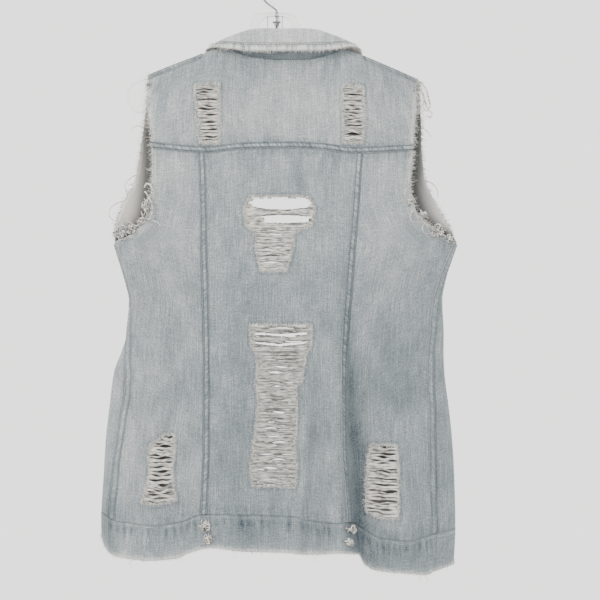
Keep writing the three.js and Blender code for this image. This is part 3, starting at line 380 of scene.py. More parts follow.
class VestForm:
    """The hanging vest's outer face as a function of ring angle and drop, all in millimetres."""

    def __init__(self) -> None:
        """Prepares the curves of the tables."""
        self.edge = pair(BODY)
        self.depth = {side: BODY.curve("drop", side.name.lower()) for side in Side}
        self.shoulder = SHOULDER.curve("x", "drop")
        self.armhole = {Side.BACK: pair(ARMHOLE_BACK), Side.FRONT: pair(ARMHOLE_FRONT)}
        self.princess = pair(PRINCESS)
        self.side_seam = pair(SIDE_SEAM)
        self.front_edge = pair(FRONT_EDGE)
        self.neck = {Side.BACK: NECK_BACK.curve("x", "drop"), Side.FRONT: NECK_FRONT.curve("x", "drop")}
        self.yoke_seam = YOKE_SEAM.curve("x", "drop")
        self.hem_seam_line = {Side.BACK: HEM_SEAM_BACK.curve("x", "drop"),
                              Side.FRONT: HEM_SEAM_FRONT.curve("x", "drop")}
        self.hem_line = {Side.BACK: HEM_BACK.curve("x", "drop"), Side.FRONT: HEM_FRONT.curve("x", "drop")}
        self.puckers = {
            Side.BACK: (
                Puckers(self.hem_seam_line[Side.BACK], -228, 240, 1.0, 9.5, 11, 3),
                Puckers(self.hem_seam_line[Side.BACK], -228, 240, 0.45, 6, -7, 4),
                Puckers(self.yoke_seam, -192, 178, 0.5, 5, 5, 5),
                Puckers(self.yoke_seam, -192, 178, 0.45, 6, -11, 6),
            ),
            Side.FRONT: (
                Puckers(self.hem_seam_line[Side.FRONT], -250, -84, 0.9, 9, 11, 7),
                Puckers(self.hem_seam_line[Side.FRONT], 66, 250, 0.9, 9, 11, 8),
            ),
        }

    def half_widths(self, drop: Array) -> tuple[Array, Array]:
        """The middle and the half width of the ring at each drop."""
        left, right = self.edge[Hand.LEFT](drop), self.edge[Hand.RIGHT](drop)
        return (left + right) / 2, (left - right) / 2

    def x_at(self, angle: Array, drop: Array) -> Array:
        """X of the ring at each angle and drop."""
        middle, half = self.half_widths(drop)
        return middle + half * signed_power(np.cos(angle), 2 / SIDE_POWER)

    def ridge_depth(self, full: Array, below: Array) -> Array:
        """Share of the body's depth below the shoulder line, rounded over the hanger.

        Args:
            full: The ring's full depth there.
            below: How far below the shoulder line.

        Returns:
            The depth in millimetres.
        """
        rounded = np.sqrt(1 - (1 - np.clip(below / RIDGE_DROP, 0, 1)) ** 2)
        return RIDGE_DEPTH * rounded + (full - RIDGE_DEPTH) * smooth(below / SPREAD_DROP)

    def skin(self, angle: Array, drop: Array) -> Array:
        """Points of the cloth's outer face.

        Args:
            angle: Ring angles; 0 is the left side and a quarter turn is the back.
            drop: Drops below the rail.

        Returns:
            Points, with x, y and z along the last axis.
        """
        angle, drop = np.broadcast_arrays(np.asarray(angle, float), np.asarray(drop, float))
        x = self.x_at(angle, drop)
        face = np.sin(angle)
        at_back = face >= 0
        full = np.where(at_back, self.depth[Side.BACK](drop), self.depth[Side.FRONT](drop))
        roundness = np.abs(face) ** (2 / FACE_POWER)
        back = fold_depth(FOLDS_BACK, x, drop) + fold_depth(CREASES_BACK, x, drop)
        front = fold_depth(FOLDS_FRONT, x, drop) + fold_depth(CREASES_FRONT, x, drop)
        back += sum(row.relief(x, drop) for row in self.puckers[Side.BACK])
        front += sum(row.relief(x, drop) for row in self.puckers[Side.FRONT])
        folds = np.where(at_back, back, front) * smooth(np.abs(face) * 1.6)
        below = drop - self.shoulder(x)
        depth = self.ridge_depth(full, below) * roundness + folds
        return np.stack([x, np.where(at_back, 1, -1) * (depth + GAP / 2), -drop], axis=-1)

    def angle_at(self, x: Array, drop: Array, side: Side) -> Array:
        """The ring angle at which a side of the vest stands at a given x."""
        middle, half = self.half_widths(drop)
        share = np.clip((x - middle) / half, -1, 1)
        return side.value * np.arccos(signed_power(share, SIDE_POWER / 2))

    def front_angle(self, x: Array, drop: Array, hand: Hand) -> Array:
        """Ring angle of a place on the front, counted on past the side that it is nearest to."""
        return self.angle_at(x, drop, Side.FRONT) + (2 * math.pi if hand is Hand.RIGHT else 0)

    def outward(self, angle: Array, drop: Array) -> Array:
        """Outward directions of the cloth, straight up along the top of the shoulders."""
        below = drop - self.shoulder(self.x_at(angle, drop))
        turn = 0.006
        step = np.clip(below * 0.4, 0.1, 1.2)
        across = self.skin(angle + turn, drop) - self.skin(angle - turn, drop)
        down = self.skin(angle, drop + step) - self.skin(angle, drop - step)
        normals = unit(np.cross(down, across))
        return np.where((below < 0.8)[..., None], np.array([0.0, 0.0, 1.0]), normals)

    def shift(self, angle: Array, drop: Array, distance: float) -> Array:
        """Ring angles moved along the cloth by a distance in millimetres."""
        turn = 0.01
        speed = np.linalg.norm(self.skin(angle + turn, drop) - self.skin(angle - turn, drop), axis=-1)
        return angle + distance / (speed / (2 * turn))

    def top(self, side: Side) -> Callable[[Array], Array]:
        """The upper edge of a side's cloth: the neckline between the shoulders, and the shoulders."""
        def drop_at(x: Array) -> Array:
            """Drop of the edge at each x."""
            on_neck = (x < NECK_LEFT) & (x > NECK_RIGHT)
            return np.where(on_neck, self.neck[side](x), self.shoulder(x))
        return drop_at

    def seam_angle(self, hand: Hand, drop: Array) -> Array:
        """Ring angle of a side seam."""
        turn = np.radians(self.side_seam[hand](drop))
        return turn if hand is Hand.LEFT else math.pi - turn

    def outer_edge(self, side: Side, hand: Hand) -> Callable[[Array], Array]:
        """The outer edge of a side's cloth: the armhole, and below it the side seam."""
        def angle_of(drop: Array) -> Array:
            """Ring angle of the edge at each drop."""
            x = self.armhole[side][hand](drop)
            if side is Side.BACK:
                hole = self.angle_at(x, drop, side)
            else:
                hole = self.front_angle(x, drop, hand)
            return np.where(drop < UNDERARM, hole, self.seam_angle(hand, drop))
        return angle_of


Edge = Callable[[Array], Array]
Level = Callable[[Array, Array], Array]


@dataclass
class ClothGrid:
    """A grid of points over a piece of cloth, in millimetres.

    Attributes:
        points: Rows by columns of outer points.
        normals: Their outward directions.
        angle: Ring angles, or zeros where the piece isn't on the ring.
        drop: Drops below the rail.
    """

    points: Array
    normals: Array
    angle: Array
    drop: Array

    def moved(self, distance: float | Array) -> Array:
        """The points moved out along their directions."""
        return self.points + self.normals * np.asarray(distance)[..., None]

    def flat_places(self) -> Array:
        """Each point's place on the cloth laid flat: across and down, in metres."""
        across = np.linalg.norm(np.diff(self.points, axis=1), axis=-1)
        down = np.linalg.norm(np.diff(self.points, axis=0), axis=-1)
        u = np.pad(np.cumsum(across, axis=1), ((0, 0), (1, 0)))
        u = u - u[:, -1:] / 2
        v = np.pad(np.cumsum(down, axis=0), ((1, 0), (0, 0)))
        return np.stack([u, -v], axis=-1) * MM

    def flat_size(self) -> tuple[float, float]:
        """Greatest width and length of the cloth laid flat, in metres."""
        across = np.linalg.norm(np.diff(self.points, axis=1), axis=-1).sum(axis=1).max()
        down = np.linalg.norm(np.diff(self.points, axis=0), axis=-1).sum(axis=0).max()
        return float(across) * MM, float(down) * MM

    def area(self) -> float:
        """Area of the cloth in square metres."""
        p = self.points
        one = np.cross(p[1:, :-1] - p[:-1, :-1], p[1:, 1:] - p[:-1, :-1])
        two = np.cross(p[1:, 1:] - p[:-1, :-1], p[:-1, 1:] - p[:-1, :-1])
        total = np.linalg.norm(one, axis=-1).sum() + np.linalg.norm(two, axis=-1).sum()
        return float(total) / 2 * MM * MM


@dataclass(frozen=True)
class PanelCut:
    """The cut of a panel: two upright edges as ring angles by drop, and a top and a bottom.

    Attributes:
        start: Ring angle of the first upright edge by drop.
        end: Ring angle of the other one.
        top: Drop of the upper edge by x and by whether it is at the back.
        bottom: Drop of the lower edge, the same way.
        pitch: Distance between grid points, in millimetres.
        crowded_top: Whether the rows crowd towards the top, as over the hanger.
    """

    start: Edge
    end: Edge
    top: Level
    bottom: Level
    pitch: float = 3.2
    crowded_top: bool = False

    def grid(self, form: VestForm) -> ClothGrid:
        """Lays the cut on the vest's form.

        Args:
            form: The form that carries it.

        Returns:
            The grid, even along the cloth.
        """
        centre, on_back = np.zeros(1), np.ones(1, bool)
        upper, lower = self.top(centre, on_back), self.bottom(centre, on_back)
        middle = 0.5 * (upper + lower)
        turns = np.linspace(self.start(middle), self.end(middle), CUT_SAMPLES).ravel()
        run = np.linalg.norm(np.diff(form.skin(turns, np.full_like(turns, middle[0])), axis=0), axis=-1)
        along = np.concatenate(([0], np.cumsum(run)))
        count = max(3, round(along[-1] / self.pitch))
        shares = np.interp(np.linspace(0, along[-1], count + 1), along, np.linspace(0, 1, CUT_SAMPLES))
        height = float(np.max(lower - upper))
        rows = np.linspace(0, 1, max(4, round(height / self.pitch)) + 1)
        if self.crowded_top:
            rows = rows ** 1.25
            rows = np.insert(rows, 1, [rows[1] * 0.1, rows[1] * 0.35, rows[1] * 0.65])
        u, v = np.meshgrid(shares, rows)
        drop = np.full(u.shape, BODY_MIDDLE_DROP)
        angle = self.start(drop) + (self.end(drop) - self.start(drop)) * u
        for _ in range(CUT_ROUNDS):
            x = form.x_at(angle, drop)
            at_back = np.sin(angle) >= 0
            top, bottom = self.top(x, at_back), self.bottom(x, at_back)
            drop = top + (bottom - top) * v
            angle = self.start(drop) + (self.end(drop) - self.start(drop)) * u
        inset = np.sign(self.end(drop) - self.start(drop))[0, 0] * GAP / 2
        angle[:, 0] = form.shift(angle[:, 0], drop[:, 0], inset)
        angle[:, -1] = form.shift(angle[:, -1], drop[:, -1], -inset)
        return ClothGrid(form.skin(angle, drop), form.outward(angle, drop), angle, drop)


@dataclass
class Sheet:
    """Vertices, faces and painted values of a cloth wall before it becomes a mesh.

    Attributes:
        grid: The grid that it is made from.
        keep: Which of the grid's quads stay.
        fade: How worn white each point is, from 0 to 1.
        tone: How much darker each point is, negative where it is lighter.
        gloom: How shaded the cloth's back is at each point, from 0 to 1.
    """

    grid: ClothGrid
    keep: Array
    fade: Array
    tone: Array
    gloom: Array

    @classmethod
    def of(cls, grid: ClothGrid) -> "Sheet":
        """A whole sheet over a grid, unworn."""
        rows, cols = grid.points.shape[:2]
        blank = np.zeros((rows, cols))
        return cls(grid, np.ones((rows - 1, cols - 1), bool), blank.copy(), blank.copy(), blank.copy())

    def wall(self, name: str, thickness: float | Array, material: bpy.types.Material,
             lift: float = 0.0) -> bpy.types.Object:
        """A closed wall of cloth: the outer face, the inner face and every rim between them.

        Args:
            name: Name of the piece.
            thickness: Thickness of the wall in millimetres.
            material: Its finish.
            lift: Height of its inner face over the grid, or 0 for a wall that lies inside it.

        Returns:
            The piece.
        """
        grid = self.grid
        rows, cols = grid.points.shape[:2]
        count = rows * cols
        outer = grid.moved(lift + thickness if lift else 0.0).reshape(-1, 3)
        inner = grid.moved(lift if lift else -thickness).reshape(-1, 3)
        index = np.arange(count).reshape(rows, cols)
        quads = np.stack([index[:-1, :-1], index[1:, :-1], index[1:, 1:], index[:-1, 1:]], axis=-1)[self.keep]
        edges = np.concatenate([quads[:, [k, (k + 1) % 4]] for k in range(4)])
        key = np.sort(edges, axis=1)
        _, first, number = np.unique(key, axis=0, return_index=True, return_counts=True)
        rim = edges[first[number == 1]]
        walls = np.stack([rim[:, 1], rim[:, 0], rim[:, 0] + count, rim[:, 1] + count], axis=-1)
        faces = np.concatenate([quads, quads[:, ::-1] + count, walls])
        points = np.concatenate([outer, inner]) * MM
        flat = grid.flat_places().reshape(-1, 2)
        return mesh_object(name, points, faces, material, {
            "fade": np.tile(self.fade.ravel(), 2),
            "tone": np.tile(self.tone.ravel(), 2),
            "gloom": np.tile(self.gloom.ravel(), 2),
            "inside": np.repeat([Layer.OUTER.value, Layer.INNER.value], count),
        }, np.tile(flat, (2, 1)))


def linked(name: str, content: bpy.types.ID) -> bpy.types.Object:
    """A new object in the scene."""
    piece = bpy.data.objects.new(name, content)
    bpy.context.scene.collection.objects.link(piece)
    return piece


def mesh_object(name: str, points: Array, faces: Array, material: bpy.types.Material,
                values: dict[str, Array], flat: Array) -> bpy.types.Object:
    """Makes a smooth piece from points and quads, with its faces pointing outwards.

    Args:
        name: Name of the piece.
        points: Points in metres.
        faces: Rows of four point numbers.
        material: Its finish.
        values: Painted values by name, one number a point.
        flat: Each point's place on the flat cloth, for the UV map.

    Returns:
        The piece, linked to the scene, with unused points left out.
    """
    used, renumbered = np.unique(faces, return_inverse=True)
    faces = renumbered.reshape(faces.shape)
    points = points[used]
    a, b, c, d = (points[faces[:, k]] for k in range(4))
    volume = sum(np.einsum("ij,ij->i", a, np.cross(*sides)).sum() for sides in ((b, c), (c, d)))
    if volume < 0:
        faces = faces[:, ::-1]
    mesh = bpy.data.meshes.new(name)
    mesh.from_pydata(points.tolist(), [], faces.tolist())
    for label, numbers in values.items():
        layer = mesh.attributes.new(label, "FLOAT", "POINT")
        layer.data.foreach_set("value", numbers[used].astype(np.float32))
    layer = mesh.uv_layers.new(name="cloth")
    loops = np.empty(len(mesh.loops), dtype=np.int32)
    mesh.loops.foreach_get("vertex_index", loops)
    layer.data.foreach_set("uv", flat[used][loops].astype(np.float32).ravel())
    mesh.shade_smooth()
    mesh.materials.append(material)
    mesh.update()
    return linked(name, mesh)


def inside_outline(outline: Sequence[Sequence[float]], x: Array, drop: Array) -> Array:
    """Whether each place lies inside a closed outline of x and drop pairs."""
    inside = np.zeros(np.broadcast(x, drop).shape, bool)
    for i, (x0, drop0) in enumerate(outline):
        x1, drop1 = outline[(i + 1) % len(outline)]
        if drop0 == drop1:
            continue
        crosses = (drop0 > drop) != (drop1 > drop)
        inside ^= crosses & (x < (x1 - x0) * (drop - drop0) / (drop1 - drop0) + x0)
    return inside


def distance_to(outline: Sequence[Sequence[float]], x: Array, drop: Array) -> Array:
    """Distance of each place from a closed outline of x and drop pairs."""
    best = np.full(np.broadcast(x, drop).shape, 1e9)
    for i, (x0, drop0) in enumerate(outline):
        x1, drop1 = outline[(i + 1) % len(outline)]
        run_x, run_drop = x1 - x0, drop1 - drop0
        length = run_x ** 2 + run_drop ** 2
        t = np.clip(((x - x0) * run_x + (drop - drop0) * run_drop) / length, 0, 1)
        best = np.minimum(best, np.hypot(x - x0 - t * run_x, drop - drop0 - t * run_drop))
    return best


def ripple(t: Array, seed: int, scale: float) -> Array:
    """A wandering line between -1 and 1, the same for the same seed.

    Args:
        t: Places along it.
        seed: Seed of its knots.
        scale: Distance between its knots.

    Returns:
        Its value at each place.
    """
    knots = np.random.default_rng(seed).uniform(-1, 1, 512)
    place = np.asarray(t, float) / scale + 128
    i = np.clip(np.floor(place).astype(int), 0, 510)
    return knots[i] + (knots[i + 1] - knots[i]) * smooth(place - i)


Colour = tuple[float, float, float]


class Knob:
    """A value socket of a material, so that shader maths reads as plain expressions."""

    def __init__(self, paint: "Paint", socket: bpy.types.NodeSocket) -> None:
        """Wraps an output socket of the paint's nodes."""
        self.paint = paint
        self.socket = socket

    def _joined(self, operation: str, *others: "Knob | float", swap: bool = False) -> "Knob":
        """Adds a Math node on this value and others.

        Args:
            operation: The Math node's operation.
            others: The other values or sockets.
            swap: Whether the others come first.

        Returns:
            The result's socket.
        """
        values = [*others, self] if swap else [self, *others]
        node = self.paint.node("ShaderNodeMath", {"operation": operation}, dict(enumerate(values)))
        return Knob(self.paint, node.outputs[0])

    def __add__(self, other: "Knob | float") -> "Knob":
        """The sum."""
        return self._joined("ADD", other)

    __radd__ = __add__

    def __sub__(self, other: "Knob | float") -> "Knob":
        """The difference."""
        return self._joined("SUBTRACT", other)

    def __rsub__(self, other: "Knob | float") -> "Knob":
        """The difference the other way round."""
        return self._joined("SUBTRACT", other, swap=True)

    def __mul__(self, other: "Knob | float") -> "Knob":
        """The product."""
        return self._joined("MULTIPLY", other)

    __rmul__ = __mul__

    def __pow__(self, other: float) -> "Knob":
        """The power."""
        return self._joined("POWER", other)

    def sine(self) -> "Knob":
        """The sine."""
        return self._joined("SINE")

    def least(self, other: "Knob | float") -> "Knob":
        """The smaller of the two."""
        return self._joined("MINIMUM", other)

    def most(self, other: "Knob | float") -> "Knob":
        """The larger of the two."""
        return self._joined("MAXIMUM", other)

    def rise(self, low: float, high: float) -> "Knob":
        """A soft step from 0 at low to 1 at high."""
        node = self.paint.node("ShaderNodeMapRange", {"interpolation_type": "SMOOTHSTEP"},
                               {"Value": self, "From Min": low, "From Max": high})
        return Knob(self.paint, node.outputs["Result"])


class Nodes:
    """A node tree under construction, with one method for every kind of node."""

    tree: bpy.types.NodeTree

    def node(self, kind: str, settings: dict[str, object] | None = None,
             inputs: dict[str | int, object] | None = None) -> bpy.types.Node:
        """Adds a node, sets it up and then fills its sockets.

        Args:
            kind: Type of the node.
            settings: Its properties, and stops for a ramp as place and colour.
            inputs: Values, sockets or knobs by the name or number of the socket.

        Returns:
            The node.
        """
        node = self.tree.nodes.new(kind)
        for key, value in (settings or {}).items():
            if key == "stops":
                ramp = node.color_ramp
                while len(ramp.elements) < len(value):
                    ramp.elements.new(0.5)
                for element, (place, colour) in zip(ramp.elements, value):
                    element.position, element.color = place, (*colour, 1)
            else:
                setattr(node, key, value)
        for key, value in (inputs or {}).items():
            socket = node.inputs[key]
            if isinstance(value, Knob):
                self.tree.links.new(value.socket, socket)
            elif isinstance(value, bpy.types.NodeSocket):
                self.tree.links.new(value, socket)
            else:
                socket.default_value = value
        return node


class Paint(Nodes):
    """A material under construction."""

    def __init__(self, name: str) -> None:
        """Starts an empty material."""
        self.material = bpy.data.materials.new(name)
        self.material.use_nodes = True
        self.tree = self.material.node_tree
        self.tree.nodes.clear()

    def painted(self, name: str) -> Knob:
        """A value painted on the piece's points."""
        return Knob(self, self.node("ShaderNodeAttribute", {"attribute_name": name}).outputs["Fac"])

    def cloth_place(self, stretch: tuple[float, float]) -> bpy.types.NodeSocket:
        """The place on the flat cloth, stretched for a pattern."""
        flat = self.node("ShaderNodeUVMap", {"uv_map": "cloth"}).outputs["UV"]
        return self._stretched(flat, (*stretch, 1.0))

    def space_place(self, stretch: tuple[float, float, float]) -> bpy.types.NodeSocket:
        """The place in the object's own space, stretched for a pattern."""
        spot = self.node("ShaderNodeTexCoord").outputs["Object"]
        return self._stretched(spot, stretch)

    def _stretched(self, vector: bpy.types.NodeSocket, stretch: tuple[float, ...]) -> bpy.types.NodeSocket:
        """A vector multiplied part by part."""
        node = self.node("ShaderNodeVectorMath", {"operation": "MULTIPLY"}, {0: vector, 1: stretch})
        return node.outputs[0]

    def noise(self, vector: bpy.types.NodeSocket, detail: float = 2.0, roughness: float = 0.5) -> Knob:
        """Soft noise from 0 to 1 with features about one unit across."""
        node = self.node("ShaderNodeTexNoise", None,
                         {"Vector": vector, "Scale": 1.0, "Detail": detail, "Roughness": roughness})
        return Knob(self, node.outputs["Fac"])

    def parts(self, vector: bpy.types.NodeSocket) -> tuple[Knob, Knob, Knob]:
        """The three parts of a vector."""
        node = self.node("ShaderNodeSeparateXYZ", None, {0: vector})
        return Knob(self, node.outputs[0]), Knob(self, node.outputs[1]), Knob(self, node.outputs[2])

    def ramp(self, value: Knob, stops: Sequence[tuple[float, Colour]]) -> bpy.types.NodeSocket:
        """A colour by value."""
        return self.node("ShaderNodeValToRGB", {"stops": stops}, {"Fac": value}).outputs["Color"]

    def blend(self, share: Knob, first: object, second: object) -> bpy.types.NodeSocket:
        """A mix of two colours."""
        as_colour = [(*c, 1) if isinstance(c, tuple) else c for c in (first, second)]
        node = self.node("ShaderNodeMix", {"data_type": "RGBA"}, {0: share, 6: as_colour[0], 7: as_colour[1]})
        return node.outputs[2]

    def bump(self, height: Knob, distance: float, strength: float = 1.0) -> bpy.types.NodeSocket:
        """A normal raised by a height."""
        node = self.node("ShaderNodeBump", None,
                         {"Height": height, "Distance": distance, "Strength": strength})
        return node.outputs["Normal"]

    def finish(self, inputs: dict[str, object]) -> bpy.types.Material:
        """Closes the material with its surface shader."""
        shader = self.node("ShaderNodeBsdfPrincipled", None, inputs)
        self.node("ShaderNodeOutputMaterial", None, {"Surface": shader.outputs[0]})
        return self.material


@dataclass(frozen=True)
class DenimFinish:
    """Light-wash denim: white weft under blue warp, slubby, faded on ridges and raw edges, darkened by
    painted shade in folds, ticks and round rips, and on its back.

    Attributes:
        name: Name of the material.
        dark: Colour where the warp is bluest.
        middle: Colour of most of the cloth.
        light: Colour where the warp is worn away.
        lining: Colour of the cloth's undyed back.
        depth: How much darker than plain the cloth is.
        streaks: Strength of the upright streaks.
    """

    name: str
    dark: Colour = (0.026, 0.042, 0.052)
    middle: Colour = (0.160, 0.188, 0.199)
    light: Colour = (0.47, 0.490, 0.475)
    lining: Colour = (0.58, 0.565, 0.53)
    depth: float = 0.0
    streaks: float = 1.0

    def material(self) -> bpy.types.Material:
        """Builds the denim's nodes."""
        paint = Paint(self.name)
        slub = paint.noise(paint.cloth_place((600, 26)), 2.0)
        yarn = paint.noise(paint.cloth_place((1300, 170)), 2.0, 0.6)
        cross = paint.noise(paint.cloth_place((60, 800)), 2.0)
        fleck = paint.noise(paint.cloth_place((620, 480)), 3.0, 0.75)
        wash = paint.noise(paint.cloth_place((30, 19)), 4.0, 0.62)
        cloud = paint.noise(paint.cloth_place((5.5, 4.2)), 2.0)
        across, down, _ = paint.parts(paint.cloth_place((1, 1)))
        twill = ((across * 5200 + down * 3600) + cross * 2.4).sine()
        fade, tone, inside, gloom = (paint.painted(name) for name in ("fade", "tone", "inside", "gloom"))
        grain = (slub - 0.5) * (0.52 * self.streaks) + (yarn - 0.5) * 0.55 + (cross - 0.5) * 0.42
        wear = (wash - 0.5) * 0.48 + (cloud - 0.5) * 0.26 + (fleck - 0.5) * 1.05
        # Painted tone darkens the cloth: wash patches together with painted shade in folds, ticks and round
        # the rips; fade whitens worn places.
        value = grain + wear + twill * 0.035 + (0.5 - self.depth) - tone + fade * 0.5
        cloth = paint.ramp(value, ((0.0, self.dark), (0.5, self.middle), (1.0, self.light)))
        # Painted shade on the cloth's undyed back, as much as gloom says.
        lining = paint.blend(gloom, self.lining, tuple(0.05 * part for part in self.lining))
        backed = paint.blend(inside * 0.86, cloth, lining)
        height = twill * 0.22 + slub * 0.5 + yarn * 0.35 + cross * 0.3 + fleck * 0.7
        return paint.finish({
            "Base Color": backed, "Roughness": 0.93, "Specular IOR Level": 0.22, "Sheen Weight": 0.12,
            "Sheen Roughness": 0.55, "Normal": paint.bump(height, 0.0006, 0.85),
        })


@dataclass(frozen=True)
class ThreadFinish:
    """Loose cotton yarn, nearly white, with a little of the wash in it.

    Attributes:
        name: Name of the material.
        clean: Colour of clean yarn.
        dingy: Colour of shaded or dyed yarn.
        dinge: Share of the dingy colour.
        patches: Dingy patches in a metre along each axis.
        crevice: Colour of the painted shade deep between bundles.
    """

    name: str
    clean: Colour = (0.62, 0.605, 0.56)
    dingy: Colour = (0.165, 0.172, 0.166)
    dinge: float = 0.5
    patches: tuple[float, float, float] = (95, 95, 420)
    crevice: Colour = (0.028, 0.030, 0.030)

    def material(self) -> bpy.types.Material:
        """Builds the yarn's nodes."""
        paint = Paint(self.name)
        patch = paint.noise(paint.space_place(self.patches), 3.0, 0.6)
        twist = paint.noise(paint.space_place((2600, 2600, 1900)), 1.0)
        share = (patch + (self.dinge - 0.5)).rise(0.36, 0.68)
        yarn = paint.blend(share, self.clean, self.dingy)
        # The painted shade attribute darkens the yarn towards the crevice colour.
        return paint.finish({
            "Base Color": paint.blend(paint.painted("shade"), yarn, self.crevice), "Roughness": 0.95,
            "Specular IOR Level": 0.15, "Sheen Weight": 0.1, "Normal": paint.bump(twist, 0.0002, 0.6),
        })


@dataclass(frozen=True)
class ClearPlasticFinish:
    """Clear moulded plastic, slightly cloudy and scuffed, painted greyer and less clear on its rounded edges
    in place of the light bent through them.

    Attributes:
        name: Name of the material.
        tint: Colour of its faces.
        edge: Colour painted on its rounded edges in place of the light bent through them.
    """

    name: str = "clear_plastic"
    tint: Colour = (0.72, 0.735, 0.735)
    edge: Colour = (0.20, 0.21, 0.21)

    def material(self) -> bpy.types.Material:
        """Builds the plastic's nodes."""
        paint = Paint(self.name)
        scuff = paint.noise(paint.space_place((160, 160, 60)), 4.0, 0.7)
        haze = paint.noise(paint.space_place((38, 38, 38)), 2.0)
        # The rim attribute marks the rounded edges, painted grey and more opaque in place of the light that
        # they bend.
        rim = paint.painted("rim")
        return paint.finish({
            "Base Color": paint.blend(rim, self.tint, self.edge),
            "Roughness": scuff.rise(0.45, 0.8) * 0.2 + 0.08,
            "Alpha": haze.rise(0.2, 0.9) * 0.12 + 0.16 + rim * 0.34, "IOR": 1.49, "Coat Weight": 0.4,
            "Normal": paint.bump(haze, 0.0012, 0.25),
        })


@dataclass(frozen=True)
class MetalFinish:
    """Plated or aged metal with fine scratches and dull patches.

    Attributes:
        name: Name of the material.
        bright: Colour where it is polished.
        dull: Colour where it is tarnished.
        roughness: Middling roughness.
    """

    name: str
    bright: Colour
    dull: Colour
    roughness: float

    def material(self) -> bpy.types.Material:
        """Builds the metal's nodes."""
        paint = Paint(self.name)
        patch = paint.noise(paint.space_place((420, 420, 420)), 3.0, 0.6)
        scratch = paint.noise(paint.space_place((4200, 4200, 260)), 2.0)
        return paint.finish({
            "Base Color": paint.blend(patch.rise(0.35, 0.7), self.bright, self.dull), "Metallic": 0.9,
            "Roughness": patch * 0.22 + (self.roughness - 0.1), "Normal": paint.bump(scratch, 0.00005, 0.5),
        })


@dataclass(frozen=True)
class FloorFinish:
    """Pale matt floor with a faint mottle."""

    name: str = "pale_floor"

    def material(self) -> bpy.types.Material:
        """Builds the floor's nodes."""
        paint = Paint(self.name)
        mottle = paint.noise(paint.space_place((3, 3, 3)), 2.0)
        return paint.finish({
            "Base Color": paint.blend(mottle, (0.80, 0.79, 0.78), (0.84, 0.83, 0.82)), "Roughness": 0.9,
        })


class NodeTree(Nodes):
    """A Geometry Nodes tree built by the script and run on guide meshes."""

    def __init__(self, name: str, sizes: dict[str, tuple[str, float | int]]) -> None:
        """Starts a tree with named inputs.

        Args:
            name: Name of the tree.
            sizes: Socket type and default by the input's name.
        """
        self.tree = bpy.data.node_groups.new(name, "GeometryNodeTree")
        face = self.tree.interface
        face.new_socket("Geometry", in_out="INPUT", socket_type="NodeSocketGeometry")
        face.new_socket("Geometry", in_out="OUTPUT", socket_type="NodeSocketGeometry")
        for label, (kind, default) in sizes.items():
            face.new_socket(label, in_out="INPUT", socket_type=kind).default_value = default
        face.new_socket("Finish", in_out="INPUT", socket_type="NodeSocketMaterial")
        self.entry = self.tree.nodes.new("NodeGroupInput")
        self.exit = self.tree.nodes.new("NodeGroupOutput")

    def size(self, name: str) -> bpy.types.NodeSocket:
        """The socket of a named input."""
        return self.entry.outputs[name]

    def sum_of(self, operation: str, *values: object) -> bpy.types.NodeSocket:
        """A Math node on values or sockets."""
        return self.node("ShaderNodeMath", {"operation": operation}, dict(enumerate(values))).outputs[0]

    def vector(self, operation: str, inputs: dict[str | int, object]) -> bpy.types.NodeSocket:
        """A Vector Math node."""
        return self.node("ShaderNodeVectorMath", {"operation": operation}, inputs).outputs[0]

    def carried(self, name: str, kind: str = "FLOAT_VECTOR") -> bpy.types.NodeSocket:
        """An attribute of the guide by name."""
        return self.node("GeometryNodeInputNamedAttribute", {"data_type": kind}, {"Name": name}).outputs[0]

    def close(self, geometry: bpy.types.NodeSocket) -> bpy.types.NodeTree:
        """Ends the tree in real geometry with its finish.

        Args:
            geometry: The geometry so far.

        Returns:
            The finished tree.
        """
        real = self.node("GeometryNodeRealizeInstances", None, {0: geometry})
        dressed = self.node("GeometryNodeSetMaterial", None,
                            {"Geometry": real.outputs[0], "Material": self.size("Finish")})
        self.tree.links.new(dressed.outputs[0], self.exit.inputs[0])
        return self.tree


def thread_tree() -> bpy.types.NodeTree:
    """Tubes along loose yarns, thinner where their taper says so."""
    sizes = {"Radius": ("NodeSocketFloat", 0.0004), "Sides": ("NodeSocketInt", 4)}
    tree = NodeTree("yarn_tubes", sizes)
    line = tree.node("GeometryNodeMeshToCurve", None, {0: tree.entry.outputs["Geometry"]})
    radius = tree.sum_of("MULTIPLY", tree.size("Radius"), tree.carried("taper", "FLOAT"))
    sized = tree.node("GeometryNodeSetCurveRadius", None, {"Curve": line.outputs[0], "Radius": radius})
    ring = tree.node("GeometryNodeCurvePrimitiveCircle", None,
                     {"Resolution": tree.size("Sides"), "Radius": 1.0})
    tube = {"Curve": sized.outputs[0], "Profile Curve": ring.outputs[0], "Fill Caps": True}
    tube["Scale"] = tree.node("GeometryNodeInputRadius").outputs[0]
    return tree.close(tree.node("GeometryNodeCurveToMesh", None, tube).outputs[0])


